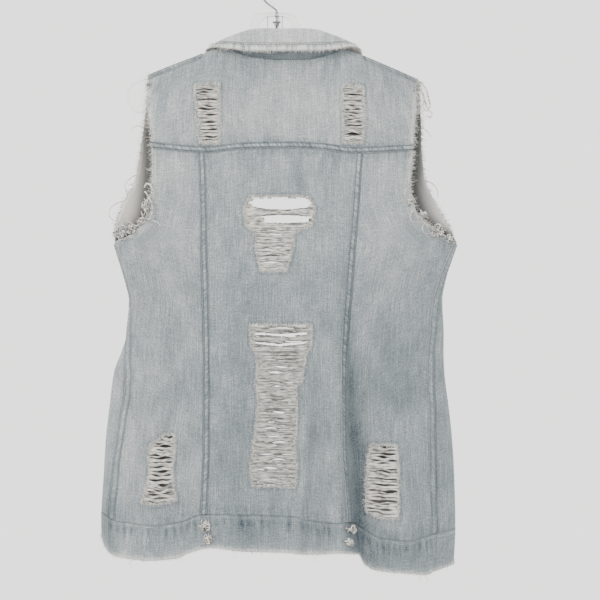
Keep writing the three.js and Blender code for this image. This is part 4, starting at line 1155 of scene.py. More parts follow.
def stitch_tree() -> bpy.types.NodeTree:
    """Stitches laid end to end along a seam, standing a little out of the cloth."""
    sizes = {"Pitch": ("NodeSocketFloat", 0.0032), "Length": ("NodeSocketFloat", 0.0026),
             "Width": ("NodeSocketFloat", 0.0008), "Seed": ("NodeSocketInt", 1)}
    tree = NodeTree("stitch_row", sizes)
    line = tree.node("GeometryNodeMeshToCurve", None, {0: tree.entry.outputs["Geometry"]})
    spots = tree.node("GeometryNodeResampleCurve", {"mode": "LENGTH"}, {
        "Curve": line.outputs[0], "Length": tree.size("Pitch")})
    grain = tree.node("GeometryNodeMeshIcoSphere", None, {"Radius": 0.55, "Subdivisions": 1})
    along = tree.node("GeometryNodeInputTangent").outputs[0]
    turned = tree.node("FunctionNodeAlignRotationToVector", {"axis": "X"}, {"Vector": along})
    stood = tree.node("FunctionNodeAlignRotationToVector", {"axis": "Z", "pivot_axis": "X"},
                      {"Rotation": turned.outputs[0], "Vector": tree.carried("out")})
    wobble = tree.node("FunctionNodeRandomValue", {"data_type": "FLOAT"},
                       {2: 0.78, 3: 1.12, "Seed": tree.size("Seed")}).outputs[1]
    scale = tree.node("ShaderNodeCombineXYZ", None, {
        0: tree.sum_of("MULTIPLY", tree.size("Length"), wobble), 1: tree.size("Width"),
        2: tree.sum_of("MULTIPLY", tree.size("Width"), 0.8)})
    placed = tree.node("GeometryNodeInstanceOnPoints", None, {
        "Points": spots.outputs[0], "Instance": grain.outputs[0], "Rotation": stood.outputs[0],
        "Scale": scale.outputs[0]})
    return tree.close(placed.outputs[0])


def fray_tree() -> bpy.types.NodeTree:
    """Frayed yarn ends along a raw edge, each curling its own way."""
    sizes = {"Spacing": ("NodeSocketFloat", 0.0008), "Shortest": ("NodeSocketFloat", 0.002),
             "Longest": ("NodeSocketFloat", 0.008), "Spread": ("NodeSocketFloat", 0.5),
             "Curl": ("NodeSocketFloat", 0.5), "Radius": ("NodeSocketFloat", 0.00022),
             "Seed": ("NodeSocketInt", 1)}
    tree = NodeTree("fray_fringe", sizes)
    seed = tree.size("Seed")

    def chance(low: float, high: float, more: int) -> bpy.types.NodeSocket:
        """A random number for each yarn end."""
        own = tree.sum_of("ADD", seed, more)
        node = tree.node("FunctionNodeRandomValue", {"data_type": "FLOAT"}, {2: low, 3: high, "Seed": own})
        return node.outputs[1]

    line = tree.node("GeometryNodeMeshToCurve", None, {0: tree.entry.outputs["Geometry"]})
    spots = tree.node("GeometryNodeResampleCurve", {"mode": "LENGTH"}, {
        "Curve": line.outputs[0], "Length": tree.size("Spacing")})
    jitter = tree.node("FunctionNodeRandomValue", {"data_type": "FLOAT_VECTOR"},
                       {0: (-1.0, -1.0, -1.0), 1: (1.0, 1.0, 1.0), "Seed": seed}).outputs[0]
    spread = tree.vector("SCALE", {0: jitter, "Scale": tree.size("Spread")})
    heading = tree.vector("ADD", {0: tree.carried("away"), 1: spread})
    turned = tree.node("FunctionNodeAlignRotationToVector", {"axis": "X"}, {"Vector": heading})
    strand = tree.node("GeometryNodeCurvePrimitiveLine", None,
                       {"Start": (0.0, 0.0, 0.0), "End": (1.0, 0.0, 0.0)})
    fine = tree.node("GeometryNodeResampleCurve", None, {"Curve": strand.outputs[0], "Count": 5})
    long_share = tree.sum_of("POWER", chance(0.0, 1.0, 7), 2.2)
    reach = tree.node("ShaderNodeMapRange", None, {
        "Value": long_share, "To Min": tree.size("Shortest"), "To Max": tree.size("Longest")}).outputs[0]
    placed = tree.node("GeometryNodeInstanceOnPoints", None, {
        "Points": spots.outputs[0], "Instance": fine.outputs[0], "Rotation": turned.outputs[0],
        "Scale": reach})
    real = tree.node("GeometryNodeRealizeInstances", None, {0: placed.outputs[0]})
    share = tree.node("GeometryNodeSplineParameter").outputs["Factor"]
    here = tree.node("GeometryNodeInputPosition").outputs[0]
    wander = tree.node("ShaderNodeTexNoise", {"noise_dimensions": "3D"},
                       {"Vector": here, "Scale": 260.0, "Detail": 1.0}).outputs["Color"]
    centred = tree.vector("SUBTRACT", {0: wander, 1: (0.5, 0.5, 0.5)})
    bend = tree.sum_of("MULTIPLY", tree.sum_of("MULTIPLY", share, tree.size("Curl")), tree.size("Longest"))
    curled = tree.node("GeometryNodeSetPosition", None, {
        "Geometry": real.outputs[0], "Offset": tree.vector("SCALE", {0: centred, "Scale": bend})})
    slim = tree.node("ShaderNodeMapRange", None, {"Value": share, "To Min": 1.0, "To Max": 0.35}).outputs[0]
    radius = tree.sum_of("MULTIPLY", tree.size("Radius"), slim)
    sized = tree.node("GeometryNodeSetCurveRadius", None, {"Curve": curled.outputs[0], "Radius": radius})
    ring = tree.node("GeometryNodeCurvePrimitiveCircle", None, {"Resolution": 3, "Radius": 1.0})
    tube = {"Curve": sized.outputs[0], "Profile Curve": ring.outputs[0], "Fill Caps": True,
            "Scale": tree.node("GeometryNodeInputRadius").outputs[0]}
    return tree.close(tree.node("GeometryNodeCurveToMesh", None, tube).outputs[0])


@dataclass
class Guide:
    """Polylines that a node tree follows, in millimetres, with painted directions and tapers.

    Attributes:
        lines: The polylines' points.
        values: For each name, one array a line.
    """

    lines: list[Array] = field(default_factory=list)
    values: dict[str, list[Array]] = field(default_factory=dict)

    def add(self, line: Array, **values: Array) -> None:
        """Adds a polyline with its values."""
        self.lines.append(np.asarray(line, float))
        for name, numbers in values.items():
            self.values.setdefault(name, []).append(np.asarray(numbers, float))

    def run(self, name: str, tree: bpy.types.NodeTree, sizes: dict[str, object]) -> bpy.types.Object:
        """Runs a tree on the polylines and keeps the result as a plain piece.

        Args:
            name: Name of the piece.
            tree: The tree.
            sizes: Values of its named inputs.

        Returns:
            The piece, with no modifier.
        """
        points = np.concatenate(self.lines) * MM
        starts = np.cumsum([0] + [len(line) for line in self.lines])
        edges = np.concatenate([np.stack([np.arange(a, b - 1), np.arange(a + 1, b)], axis=-1)
                                for a, b in zip(starts[:-1], starts[1:])])
        mesh = bpy.data.meshes.new(name + "_guide")
        mesh.from_pydata(points.tolist(), edges.tolist(), [])
        for label, arrays in self.values.items():
            numbers = np.concatenate(arrays).astype(np.float32)
            kind, slot = ("FLOAT_VECTOR", "vector") if numbers.ndim == 2 else ("FLOAT", "value")
            mesh.attributes.new(label, kind, "POINT").data.foreach_set(slot, numbers.ravel())
        holder = linked(name + "_guide", mesh)
        step = holder.modifiers.new(name, "NODES")
        step.node_group = tree
        for item in tree.interface.items_tree:
            if item.item_type == "SOCKET" and item.in_out == "INPUT" and item.name in sizes:
                step[item.identifier] = sizes[item.name]
        evaluated = holder.evaluated_get(bpy.context.evaluated_depsgraph_get())
        result = bpy.data.meshes.new_from_object(evaluated)
        result.name = name
        bpy.data.objects.remove(holder)
        result.shade_smooth()
        return linked(name, result)


@dataclass
class Trees:
    """The node trees that the sewing and the fray are made with."""

    yarn: bpy.types.NodeTree = field(default_factory=thread_tree)
    stitch: bpy.types.NodeTree = field(default_factory=stitch_tree)
    fray: bpy.types.NodeTree = field(default_factory=fray_tree)


@dataclass
class Dresser:
    """Hands finished pieces to the frame and keeps the count for the log.

    Attributes:
        form: The vest's form.
        finishes: The materials by name.
        trees: The node trees.
    """

    form: VestForm
    finishes: dict[str, bpy.types.Material]
    trees: Trees
    triangles: int = 0

    def hand_in(self, piece: bpy.types.Object, slot: str, *nodes: str) -> bpy.types.Object:
        """Rides a piece on the part, hides the CAD nodes that it stands for, and logs it.

        Args:
            piece: The finished piece.
            slot: Not used.
            nodes: CAD nodes that it replaces.

        Returns:
            The same piece.
        """
        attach(piece, "root")
        if nodes:
            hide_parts(*nodes)
        count = sum(len(face.vertices) - 2 for face in piece.data.polygons)
        self.triangles += count
        LOG.info("%s: %d triangles", piece.name, count)
        return piece

    def grow(self, guide: Guide, name: str, tree: bpy.types.NodeTree, finish: str,
             sizes: dict[str, float], *nodes: str, slot: str = "weft") -> bpy.types.Object:
        """Runs a node tree on a guide and hands the result in.

        Args:
            guide: The polylines that the piece follows.
            name: Name of the piece.
            tree: The tree.
            finish: Name of its finish.
            sizes: Values of the tree's inputs.
            nodes: CAD nodes that it replaces.
            slot: Passed on to hand_in.

        Returns:
            The piece.
        """
        piece = guide.run(name, tree, {**sizes, "Finish": self.finishes[finish]})
        return self.hand_in(piece, slot, *nodes)


@dataclass(frozen=True)
class Rip:
    """A torn window in the back: its outline, its open gaps and its ladder of loose weft.

    Attributes:
        name: Name of the piece and of its CAD node.
        panel: The panel that it is torn in.
        outline: The window's corners as x and drop.
        gaps: Places with no yarns at all.
        slack: How far the yarns sag and wander.
        seed: Seed of the yarns.
        split: How far the bundles part from each other.
        ropes: Thick bundles as drop, height and sag.
        dull: How far all its yarns are darkened towards the crevice colour.
    """

    name: str
    panel: str
    outline: tuple[tuple[float, float], ...]
    gaps: tuple[tuple[tuple[float, float], ...], ...] = ()
    slack: float = 1.0
    seed: int = 1
    split: float = 0.8
    ropes: tuple[tuple[float, float, float], ...] = ()
    dull: float = 0.08

    def torn(self, x: Array, drop: Array) -> Array:
        """Whether the cloth is gone at each place, with a ragged rim."""
        ragged_x = x + 1.3 * ripple(drop, self.seed, 3.1) + 0.8 * ripple(drop, self.seed + 9, 8.0)
        ragged_drop = drop + 1.6 * ripple(x, self.seed + 5, 2.6)
        return inside_outline(self.outline, ragged_x, ragged_drop)

    def rim_fade(self, x: Array, drop: Array) -> Array:
        """How worn the cloth is round the window."""
        distance = distance_to(self.outline, x, drop)
        uneven = 0.75 + 0.45 * ripple(x + 1.7 * drop, self.seed + 2, 5.0)
        return uneven * 0.8 * bell(distance, 2.7) + 0.12 * bell(distance, 9)

    def spans(self, drop: float) -> list[tuple[float, float]]:
        """Stretches of x inside the window at one drop, each from its right end to its left end."""
        crossings = []
        for i, (x0, drop0) in enumerate(self.outline):
            x1, drop1 = self.outline[(i + 1) % len(self.outline)]
            if (drop0 > drop) != (drop1 > drop):
                crossings.append(x0 + (x1 - x0) * (drop - drop0) / (drop1 - drop0))
        crossings.sort()
        return list(zip(crossings[::2], crossings[1::2]))

    def in_gap(self, x: Array, drop: Array) -> Array:
        """Whether each place lies in a gap."""
        found = np.zeros(np.shape(x), bool)
        for gap in self.gaps:
            found |= inside_outline(gap, x, drop)
        return found

    def ladder(self, form: VestForm) -> Guide:
        """Lays the loose weft across the window in wavering bundles.

        Args:
            form: The vest's form.

        Returns:
            The yarns.
        """
        random = np.random.default_rng(self.seed)
        low = min(drop for _, drop in self.outline)
        high = max(drop for _, drop in self.outline)
        at, yarns = low + 0.6, []
        while at < high - 0.4:
            height = random.uniform(2.4, 5.4)
            sag, lean = random.uniform(-0.9, 1.9) * self.slack, random.uniform(-1.2, 1.2) * self.slack
            wave, phase = random.uniform(0.3, 1.5) * self.slack, random.uniform(0, 2 * math.pi)
            pinch, pinch_at = random.uniform(0.1, 0.62) * self.split, random.uniform(0.2, 0.8)
            count = max(4, round(height / (0.55 if self.split > WIDE_SPLIT else 0.66)))
            for k in range(count):
                level = (k + 0.5) / count - 0.5
                for right, left in self.spans(at + height / 2 + level * height):
                    yarns.append(self._yarn(random, right, left, at + height / 2, level * height,
                                            (height, sag, lean, wave, phase, pinch, pinch_at)))
            # Painted shade: dark yarns laid low behind close bundles, so that the cracks between them read as
            # shadow.
            for level in BACKING_LEVELS if self.split < WIDE_SPLIT else ():
                for right, left in self.spans(at + height / 2):
                    behind = self._yarn(random, right, left, at + height / 2, level * height,
                                        (height, sag, lean, wave, phase, 0.0, 0.5))
                    behind[:, 2:] = (BACKING_HEIGHT, BACKING_SHADE)
                    yarns.append(behind)
            at += height * (random.uniform(0.86, 0.96) + 0.16 * self.split)
        for middle, height, sag in self.ropes:
            count = round(height / 0.36)
            for k in range(count):
                level = height * ((k + 0.5) / count - 0.5)
                bundle = (height, sag, 0.6, 0.5, k * 0.05, 0.1, 0.5)
                for right, left in self.spans(middle):
                    yarns.append(self._yarn(random, right, left, middle, level, bundle))
        return self._laid(form, random, yarns)

    def _yarn(self, random: np.random.Generator, right: float, left: float, middle: float, level: float,
              bundle: tuple[float, ...]) -> Array:
        """One yarn of a bundle.

        Args:
            random: The ladder's own random numbers.
            right: X of the window's right edge.
            left: X of its left edge.
            middle: Drop of the bundle.
            level: The yarn's own place in the bundle.
            bundle: Height, sag, lean, wave, phase, pinch and where it pinches.

        Returns:
            X, drop, height over the cloth and painted shade of the yarn's points.
        """
        height, sag, lean, wave, phase, pinch, pinch_at = bundle
        count = max(7, round((left - right) / 3.2))
        t = np.linspace(0, 1, count)
        free = np.sin(math.pi * t)
        squeeze = 1 - pinch * bell(t - pinch_at, 0.3)
        x = right - 2.2 + (left - right + 4.4) * t
        waver = wave * np.sin((2.2 + abs(lean)) * math.pi * t + phase) * free
        drop = middle + level * squeeze + sag * free + lean * (t - 0.5) + waver
        drop = drop + random.normal(0, 0.16, count)
        share = min(1.0, 2 * abs(level) / height)
        crown = 0.32 * height * math.sqrt(1 - share ** 2) * free ** 0.4
        swell = crown + free * random.uniform(-0.5, 0.7) + 0.4 * np.sin(3 * math.pi * t + phase) * free
        # Painted shade: yarns at a bundle's edges are darkened where bundles meet.
        edge = 1 - smooth((height / 2 - abs(level)) / (1.45 - 0.55 * self.split))
        shade = edge * np.clip(0.75 + 0.6 * np.sin(math.pi * t + phase), 0, 1) * (0.5 + 0.5 * free)
        return np.stack([x, drop, swell, shade], axis=-1)

    def _laid(self, form: VestForm, random: np.random.Generator, yarns: list[Array]) -> Guide:
        """Lays all yarns over the vest's form and splits them where a gap parts them.

        Args:
            form: The vest's form.
            random: The ladder's own random numbers.
            yarns: The yarns.

        Returns:
            The yarns as a guide.
        """
        guide = Guide()
        x, drop, swell, shade = np.concatenate(yarns).T
        angle = form.angle_at(x, drop, Side.BACK)
        places = form.skin(angle, drop) + form.outward(angle, drop) * (swell - 0.55)[:, None]
        kept = ~self.in_gap(x, drop)
        lip = self.in_gap(x, drop + GAP_LIP) | self.in_gap(x, drop - GAP_LIP)
        # Painted shade: every yarn darkened by the rip's dull share, and yarns along a gap's lips darkened as
        # painted shade of its rim.
        shade = np.maximum(self.dull + (1 - self.dull) * shade, 0.85 * lip)
        ends = np.cumsum([len(yarn) for yarn in yarns])
        parts = (np.split(values, ends[:-1]) for values in (places, kept, shade))
        for points, held, dinge in zip(*parts):
            taper, start = random.uniform(0.75, 1.3) * (1.26 - 0.22 * min(self.split, 1.0)), 0
            for stop in range(1, len(points) + 1):
                if stop == len(points) or held[stop] != held[start]:
                    if held[start] and stop - start > 2:
                        guide.add(points[start:stop], taper=np.full(stop - start, taper),
                                  shade=dinge[start:stop])
                    start = stop
        return guide

    def rim(self, form: VestForm) -> Guide:
        """The window's rim as a guide for short frayed ends that point into it."""
        guide = Guide()
        middle = np.mean(np.array(self.outline), axis=0)
        count = len(self.outline)
        for i in range(count):
            start, end = np.array(self.outline[i], float), np.array(self.outline[(i + 1) % count], float)
            steps = max(2, round(float(np.hypot(*(end - start))) / 3))
            flat = start + (end - start) * np.linspace(0, 1, steps + 1)[:, None]
            inward = np.array([(end - start)[1], -(end - start)[0]])
            inward = inward / np.hypot(*inward)
            probe = (start + end) / 2 + inward * 1.5
            if not inside_outline(self.outline, probe[0], probe[1]):
                inward = -inward
            flat = flat - inward * 1.6 + 0.9 * ripple(flat.sum(axis=1), self.seed + 3, 2.2)[:, None] * inward
            angle = form.angle_at(flat[:, 0], flat[:, 1], Side.BACK)
            out = form.outward(angle, flat[:, 1])
            points = form.skin(angle, flat[:, 1]) + out * 0.1
            ahead = flat + inward * 2
            tip = form.skin(form.angle_at(ahead[:, 0], ahead[:, 1], Side.BACK), ahead[:, 1])
            inwards = unit(tip - points)
            guide.add(points, away=inwards + 0.35 * out)
            guide.add(points + inwards * 0.8, away=out * 0.75 - 0.9 * inwards)
        return guide


RIPS = (
    Rip("rip_threads_yoke_left", "back_yoke",
        ((117, 160), (84, 158), (84, 241), (109, 241), (113, 200)), (), 1.0, 11),
    Rip("rip_threads_yoke_right", "back_yoke",
        ((-97, 160), (-124, 162), (-125, 205), (-123, 241), (-98, 241)), (), 1.0, 22),
    Rip("rip_threads_upper", "back_centre_panel",
        ((36, 321), (44, 336), (42, 360), (29, 371), (28, 390), (21, 425), (-14, 425), (-23, 390),
         (-23, 371), (-50, 360), (-54, 336), (-46, 321)),
        (((29, 321), (37, 329), (31, 335), (8, 338.5), (-20, 338.5), (-43, 336), (-50, 329), (-40, 321)),
         ((19, 348), (-2, 346.5), (-30, 347), (-48, 349), (-44, 357), (-10, 358), (14, 356))), 1.15, 33, 0.35,
        ((342.2, 6.6, 0.8), (361.5, 5.0, 1.5))),
    Rip("rip_threads_lower", "back_centre_panel",
        ((36, 505), (34, 532), (25, 548), (27, 594), (24, 614), (31, 678), (35, 708), (33, 731),
         (-26, 733), (-28, 708), (-25, 678), (-28, 640), (-27, 590), (-36, 582), (-41, 547), (-49, 530),
         (-49, 505)),
        (((30, 514.5), (-6, 516.5), (-44, 514.5), (-42, 517.4), (-6, 519.7), (28, 517.4)),
         ((28, 528.6), (-6, 530.8), (-42, 527.8), (-38, 530.6), (-6, 533.9), (24, 531.4))), 1.25, 44, 0.1,
        ((523.0, 5.4, 1.2), (538.5, 4.5, 1.6)), 0.27),
    Rip("rip_threads_low_left", "back_side_panel_left",
        ((160, 663), (147, 662), (146, 676), (149, 704), (148, 731), (143, 752), (166, 759), (191, 757),
         (182, 731), (180, 713), (182, 694), (180, 677)), (), 1.7, 55, 1.0),
    Rip("rip_threads_low_right", "back_side_panel_right",
        ((-137, 677), (-133, 696), (-132, 718), (-130, 736), (-130, 771), (-150, 778), (-173, 778),
         (-173, 700), (-171, 677)), (), 1.1, 66, 1.25),
)

# Patches of deeper or paler wash on the back, several of them painted shade in fold valleys, beside a
# princess seam and along the hem: a positive amount is darker
WASH_AND_SHADE_BACK = Table(("x", "drop", "reach_x", "reach_drop", "amount"), (
    (-13, 196, 210, 52, -0.13), (8, 470, 84, 110, 0.05), (165, 320, 46, 110, -0.08),
    (222, 640, 34, 170, -0.12), (150, 560, 40, 90, -0.03), (-165, 330, 46, 100, -0.09),
    (-173, 575, 32, 62, 0.15), (-118, 745, 17, 112, 0.40), (-106, 600, 9, 100, 0.20),
    (-199, 740, 46, 66, 0.05), (-170, 842, 80, 28, 0.20), (24, 802, 84, 24, 0.14),
    (51, 700, 30, 100, 0.10), (-62, 740, 14, 110, 0.12), (243, 790, 14, 44, 0.22),
    (-30, 300, 14, 44, 0.10), (62, 292, 26, 50, -0.06), (-2, 740, 12, 60, 0.10),
    (150, 262, 30, 30, -0.05), (186, 766, 50, 14, 0.10), (-98, 460, 9, 90, 0.10),
))
WASH_FRONT = Table(("x", "drop", "reach_x", "reach_drop", "amount"), (
    (150, 250, 60, 60, -0.08), (-160, 250, 60, 60, -0.08), (130, 560, 60, 120, 0.05),
    (-150, 560, 60, 120, 0.06), (190, 760, 40, 60, 0.05), (-200, 740, 40, 70, 0.06),
))


def wash_tone(patches: Table, x: Array, drop: Array) -> Array:
    """Darkness of all patches of a table at each place: wash, and painted shade where the table has it."""
    tone = np.zeros(np.broadcast(x, drop).shape)
    for middle, level, reach_x, reach_drop, amount in patches.rows:
        tone += amount * np.exp(-(((x - middle) / reach_x) ** 2) - ((drop - level) / reach_drop) ** 2)
    return tone


@dataclass
class VestBody:
    """The panels and the hem band, cut, torn, washed and given painted shade.

    Attributes:
        dresser: What hands the pieces in.
        grids: The panels' grids by name.
        pieces: The finished panels by name.
    """

    dresser: Dresser
    grids: dict[str, ClothGrid] = field(default_factory=dict)
    pieces: dict[str, bpy.types.Object] = field(default_factory=dict)

    def cuts(self) -> dict[str, PanelCut]:
        """The cut of every panel by name."""
        form = self.dresser.form
        top_back, top_front = form.top(Side.BACK), form.top(Side.FRONT)
        seam, hem = form.hem_seam_line, form.hem_line

        def level(lines: dict[Side, Curve], more: float) -> Level:
            """A line round the vest, moved down."""
            return lambda x, at_back: np.where(at_back, lines[Side.BACK](x), lines[Side.FRONT](x)) + more

        def at_x(line: Curve) -> Edge:
            """Ring angles of an upright line on the back."""
            return lambda drop: form.angle_at(line(drop), drop, Side.BACK)

        def under_yoke(x: Array, _: Array) -> Array:
            """Drop of the edge that meets the yoke from below."""
            return form.yoke_seam(x) + SEAM_SLIT

        over_hem, hem_top, hem_edge = level(seam, -SEAM_SLIT), level(seam, SEAM_SLIT), level(hem, 0)
        cuts = {
            "back_yoke": PanelCut(
                at_x(form.armhole[Side.BACK][Hand.LEFT]), at_x(form.armhole[Side.BACK][Hand.RIGHT]),
                lambda x, _: top_back(x), lambda x, _: form.yoke_seam(x) - SEAM_SLIT, 2.6, True),
            "back_centre_panel": PanelCut(
                at_x(form.princess[Hand.LEFT]), at_x(form.princess[Hand.RIGHT]), under_yoke, over_hem, 2.4),
            "hem_band_back": PanelCut(
                lambda drop: form.seam_angle(Hand.LEFT, drop), lambda drop: form.seam_angle(Hand.RIGHT, drop),
                hem_top, hem_edge, 2.4),
        }
        for hand in Hand:
            cuts[f"back_side_panel_{hand.word}"] = PanelCut(
                form.outer_edge(Side.BACK, hand), at_x(form.princess[hand]), under_yoke, over_hem, 2.6)
            outer, edge = form.outer_edge(Side.FRONT, hand), self.front_edge(hand)
            cuts[f"front_panel_{hand.word}"] = PanelCut(
                outer, edge, lambda x, _: top_front(x), over_hem, 3.8, True)
            cuts[f"hem_band_front_{hand.word}"] = PanelCut(outer, edge, hem_top, hem_edge, 2.8)
        return cuts

    def front_edge(self, hand: Hand) -> Edge:
        """Ring angle of a front's open edge by drop."""
        form = self.dresser.form
        return lambda drop: form.front_angle(form.front_edge[hand](drop), drop, hand)

    def build(self) -> None:
        """Builds every panel and hands it in."""
        for name, cut in self.cuts().items():
            grid = cut.grid(self.dresser.form)
            self.grids[name] = grid
            sheet = Sheet.of(grid)
            self.wash(name, sheet)
            sheet.gloom += self.shadow(name, grid)
            self.tear(name, sheet)
            double = name.startswith("hem")
            piece = sheet.wall(name + "_cloth", DOUBLE_CLOTH if double else CLOTH,
                               self.dresser.finishes["denim"])
            self.pieces[name] = self.dresser.hand_in(piece, "denim", name)

    def shadow(self, name: str, grid: ClothGrid) -> Array:
        """Painted shade on a panel's back: dark beside the back's armhole edge, along the neckline and behind
        the rips that hang open.

        Args:
            name: The panel.
            grid: Its grid.

        Returns:
            The shade from 0 to 1.
        """
        x, drop = grid.points[..., 0], grid.drop
        if name == "back_yoke":
            below = drop - self.dresser.form.top(Side.BACK)(x)
            return np.where((x < NECK_LEFT) & (x > NECK_RIGHT), np.exp(-(below / 4)), 0)
        if not name.startswith("front_panel"):
            return np.zeros(x.shape)
        hand = Hand.LEFT if name.endswith("left") else Hand.RIGHT
        beyond = hand.value * (x - self.dresser.form.armhole[Side.BACK][hand](np.minimum(drop, UNDERARM)))
        near = 0.98 * (1 - smooth((beyond - 9) / 27)) * smooth((beyond + 46) / 30)
        dark = near * smooth((UNDERARM + 10 - drop) / 20)
        # Painted shade on the fronts' inside behind each rip that hangs open, seen through its slits.
        for rip in RIPS:
            if rip.split > WIDE_SPLIT:
                middle, reach = np.mean(rip.outline, axis=0), np.ptp(rip.outline, axis=0)
                dark += 0.9 * np.exp(-(((x - middle[0]) / (0.5 * reach[0] + 34)) ** 4)
                                     - ((drop - middle[1]) / (0.5 * reach[1] + 26)) ** 4)
        return np.clip(dark, 0, 1)

    def wash(self, name: str, sheet: Sheet) -> None:
        """Paints wash patches with painted fold shade among them, worn raw edges and painted shade in the
        ticks on a panel.

        Args:
            name: The panel.
            sheet: Its sheet, changed in place.
        """
        grid, form = sheet.grid, self.dresser.form
        x, drop = grid.points[..., 0], grid.drop
        at_back = np.sin(grid.angle) >= 0
        # Wash patches; on the back several of them are painted shade in the folds.
        sheet.tone += np.where(at_back, wash_tone(WASH_AND_SHADE_BACK, x, drop), wash_tone(WASH_FRONT, x, drop))
        # Painted shade in the troughs of the pucker ticks.
        back = sum(row.relief(x, drop) for row in form.puckers[Side.BACK])
        front = sum(row.relief(x, drop) for row in form.puckers[Side.FRONT])
        sheet.tone -= np.where(at_back, back, front) * 0.28
        flat = grid.flat_places() / MM
        if name.startswith("hem"):
            rise = np.abs(flat[..., 1] - flat[-1:, :, 1])
            sheet.fade += 0.85 * bell(rise, 3.4) + 0.22 * bell(rise, 10)
            head = np.abs(flat[..., 1])
            sheet.tone += 0.24 * bell(head, 1.6) - 0.12 * bell(head - 4.5, 2)
            return
        for edge in {"back_yoke": (0, -1), "back_centre_panel": ()}.get(name, (0,)):
            inward = np.abs(flat[..., 0] - flat[:, edge, 0][:, None])
            open_edge = smooth((UNDERARM + 4 - drop) / 12)
            sheet.fade += open_edge * (0.8 * bell(inward, 3.6) + 0.2 * bell(inward, 11))

    def tear(self, name: str, sheet: Sheet) -> None:
        """Tears the rips of a panel out of its sheet, wears their rims white and paints a shadow round them.

        Args:
            name: The panel.
            sheet: Its sheet, changed in place.
        """
        x, drop = sheet.grid.points[..., 0], sheet.grid.drop
        centre_x = (x[:-1, :-1] + x[1:, 1:]) / 2
        centre_drop = (drop[:-1, :-1] + drop[1:, 1:]) / 2
        for rip in RIPS:
            if rip.panel == name:
                sheet.keep &= ~rip.torn(centre_x, centre_drop)
                sheet.fade += rip.rim_fade(x, drop)
                # Painted shadow: a dark ring just outside each worn rim, where the fringe shades the cloth.
                sheet.tone += 0.2 * bell(distance_to(rip.outline, x, drop) - 5.0, 1.4)
        sheet.fade[:] = np.clip(sheet.fade, 0, 1.15)


@dataclass(frozen=True)
class Strip:
    """A felled seam or a band that lies on the panels, and where its stitching runs.

    Attributes:
        name: Its CAD node.
        start: Ring angle of one long edge by drop.
        end: Ring angle of the other by drop.
        top: Drop of its upper end or edge.
        bottom: Drop of its lower end or edge.
        upright: Whether it runs down the vest rather than across.
        thickness: Thickness in millimetres.
        rows: Shares of the width at which stitching runs.
        finish: Name of its finish.
    """

    name: str
    start: Edge
    end: Edge
    top: Level
    bottom: Level
    upright: bool = True
    thickness: float = SEAM_CLOTH
    rows: tuple[float, ...] = (0.16, 0.84)
    finish: str = "denim_seam"


